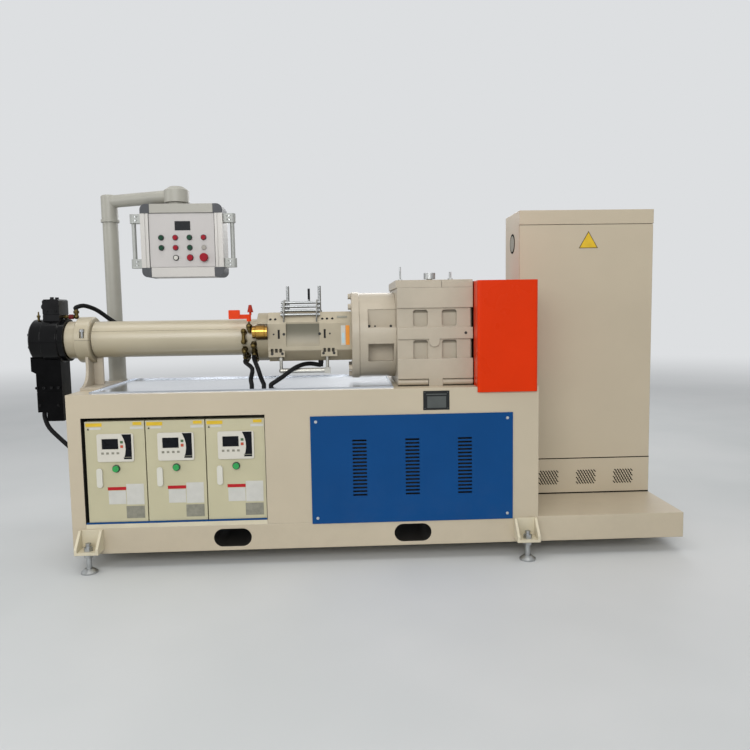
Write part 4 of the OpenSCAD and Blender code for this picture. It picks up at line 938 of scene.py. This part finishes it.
# %% Screws and fittings of the crosshead
collar_red = finish("red_collar", rgb(112, 34, 36), 0.5, drift=0.12, drift_scale=60.0, grain=300,
                    depth=0.00004, shine=0.2)
drum_face = corners_mm("head_drum")[0].x + 0.5
head_side = corners_mm("head_lower")[1].y - 0.5
bolt_radius = 78
nipple_x, nipple_y = -1544, -20
bm = bmesh.new()
for k in range(8):
    angle = math.radians(22.5 + 45 * k)
    y = bolt_radius * math.cos(angle)
    z = screw_axis + bolt_radius * math.sin(angle)
    socket_screw(bm, (drum_face, y, z), (-1, 0, 0), 15)
for side in (-1, 1):
    for x in (-1556, -1520, -1484, -1450):
        socket_screw(bm, (x, side * head_side, 822), (0, side, 0), 14)
    for x in (-1490, -1446):
        socket_screw(bm, (x, side * head_side, 1200), (0, side, 0), 14)
    for x in (-1545, -1455):
        socket_screw(bm, (x, side * head_side, 735), (0, side, 0), 12)
block_low, block_high = corners_mm("head_block")
hex_screw(bm, (block_low.x, -28, 1222), (-1, 0, 0), 20)
for y in (30, -30):
    hex_screw(bm, (-1470, y, block_high.z), (0, 0, 1), 16)
piece(bm, "crosshead_screws", black_steel)
bm = bmesh.new()
rod(bm, (nipple_x, nipple_y, 1154), (0, 0, 1), 24, 12, sides=16)
hex_screw(bm, (nipple_x, nipple_y, 1170), (0, 0, 1), 15, washer=False)
rod(bm, (nipple_x, nipple_y, 1178), (0, 0, 1), 20, 9, 6, sides=16)
piece(bm, "crosshead_nipple", brass)
bm = bmesh.new()
rod(bm, (-1402, 0, 1171), (1, 0, 0), 22, 24, sides=28, edge=2)
piece(bm, "union_collar", collar_red)

# %% [markdown]
# The operator panel swings with its arm, so what sits on it rides on the panel's body and not on
# the frame. Its face has a dark display; three lines show where the face meets the header and the
# sides of the case; each handle foot has two screws, and the stop button has a wide red cap.

# %% Display, seams and handle screws of the operator panel
seam_dark = finish("panel_seams", rgb(62, 60, 58), 0.5, drift=0.05, drift_scale=30.0, grain=400,
                   depth=0.00002)
seam_front, seam_back = 57.6, 60
seam_low, seam_high = 1414, 1684
handle_front = corners_mm("panel_handles")[0].y
bm = bmesh.new()
block(bm, (-877, 58.2, 1598), (-799, 60.2, 1644), edge=0.6)
piece(bm, "panel_display", display_glass, body="panel")
bm = bmesh.new()
block(bm, (-1006, seam_front, seam_high - 0.5), (-679, seam_back, seam_high + 2))
for left in (-1007.6, -679.2):
    block(bm, (left, seam_front, seam_low), (left + 2, seam_back, seam_high))
piece(bm, "panel_seams", seam_dark, body="panel")
bm = bmesh.new()
for x in (-1079, -605):
    for z in (1425, 1444, 1651, 1670):
        socket_screw(bm, (x, handle_front + 0.387, z), (0, -1, 0), 8)
piece(bm, "panel_handle_screws", bright_screw, body="panel")
bm = bmesh.new()
rod(bm, (-733.9, 34.5, 1460.8), (0, -1, 0), 0.6, 30, sides=32)
piece(bm, "stop_button_cap", label_red, body="panel")

# %% [markdown]
# The last cell compares the box of the dressed machine with the box of the bare solids.

# %% Sizes and the last check
dressed_box = [list(corner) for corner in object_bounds()]
growth = [round(1000 * (b - a), 1) for pair in zip(cad_box, dressed_box) for a, b in zip(*pair)]
print("pieces added:", len(pieces_made), "growth in mm:", growth)
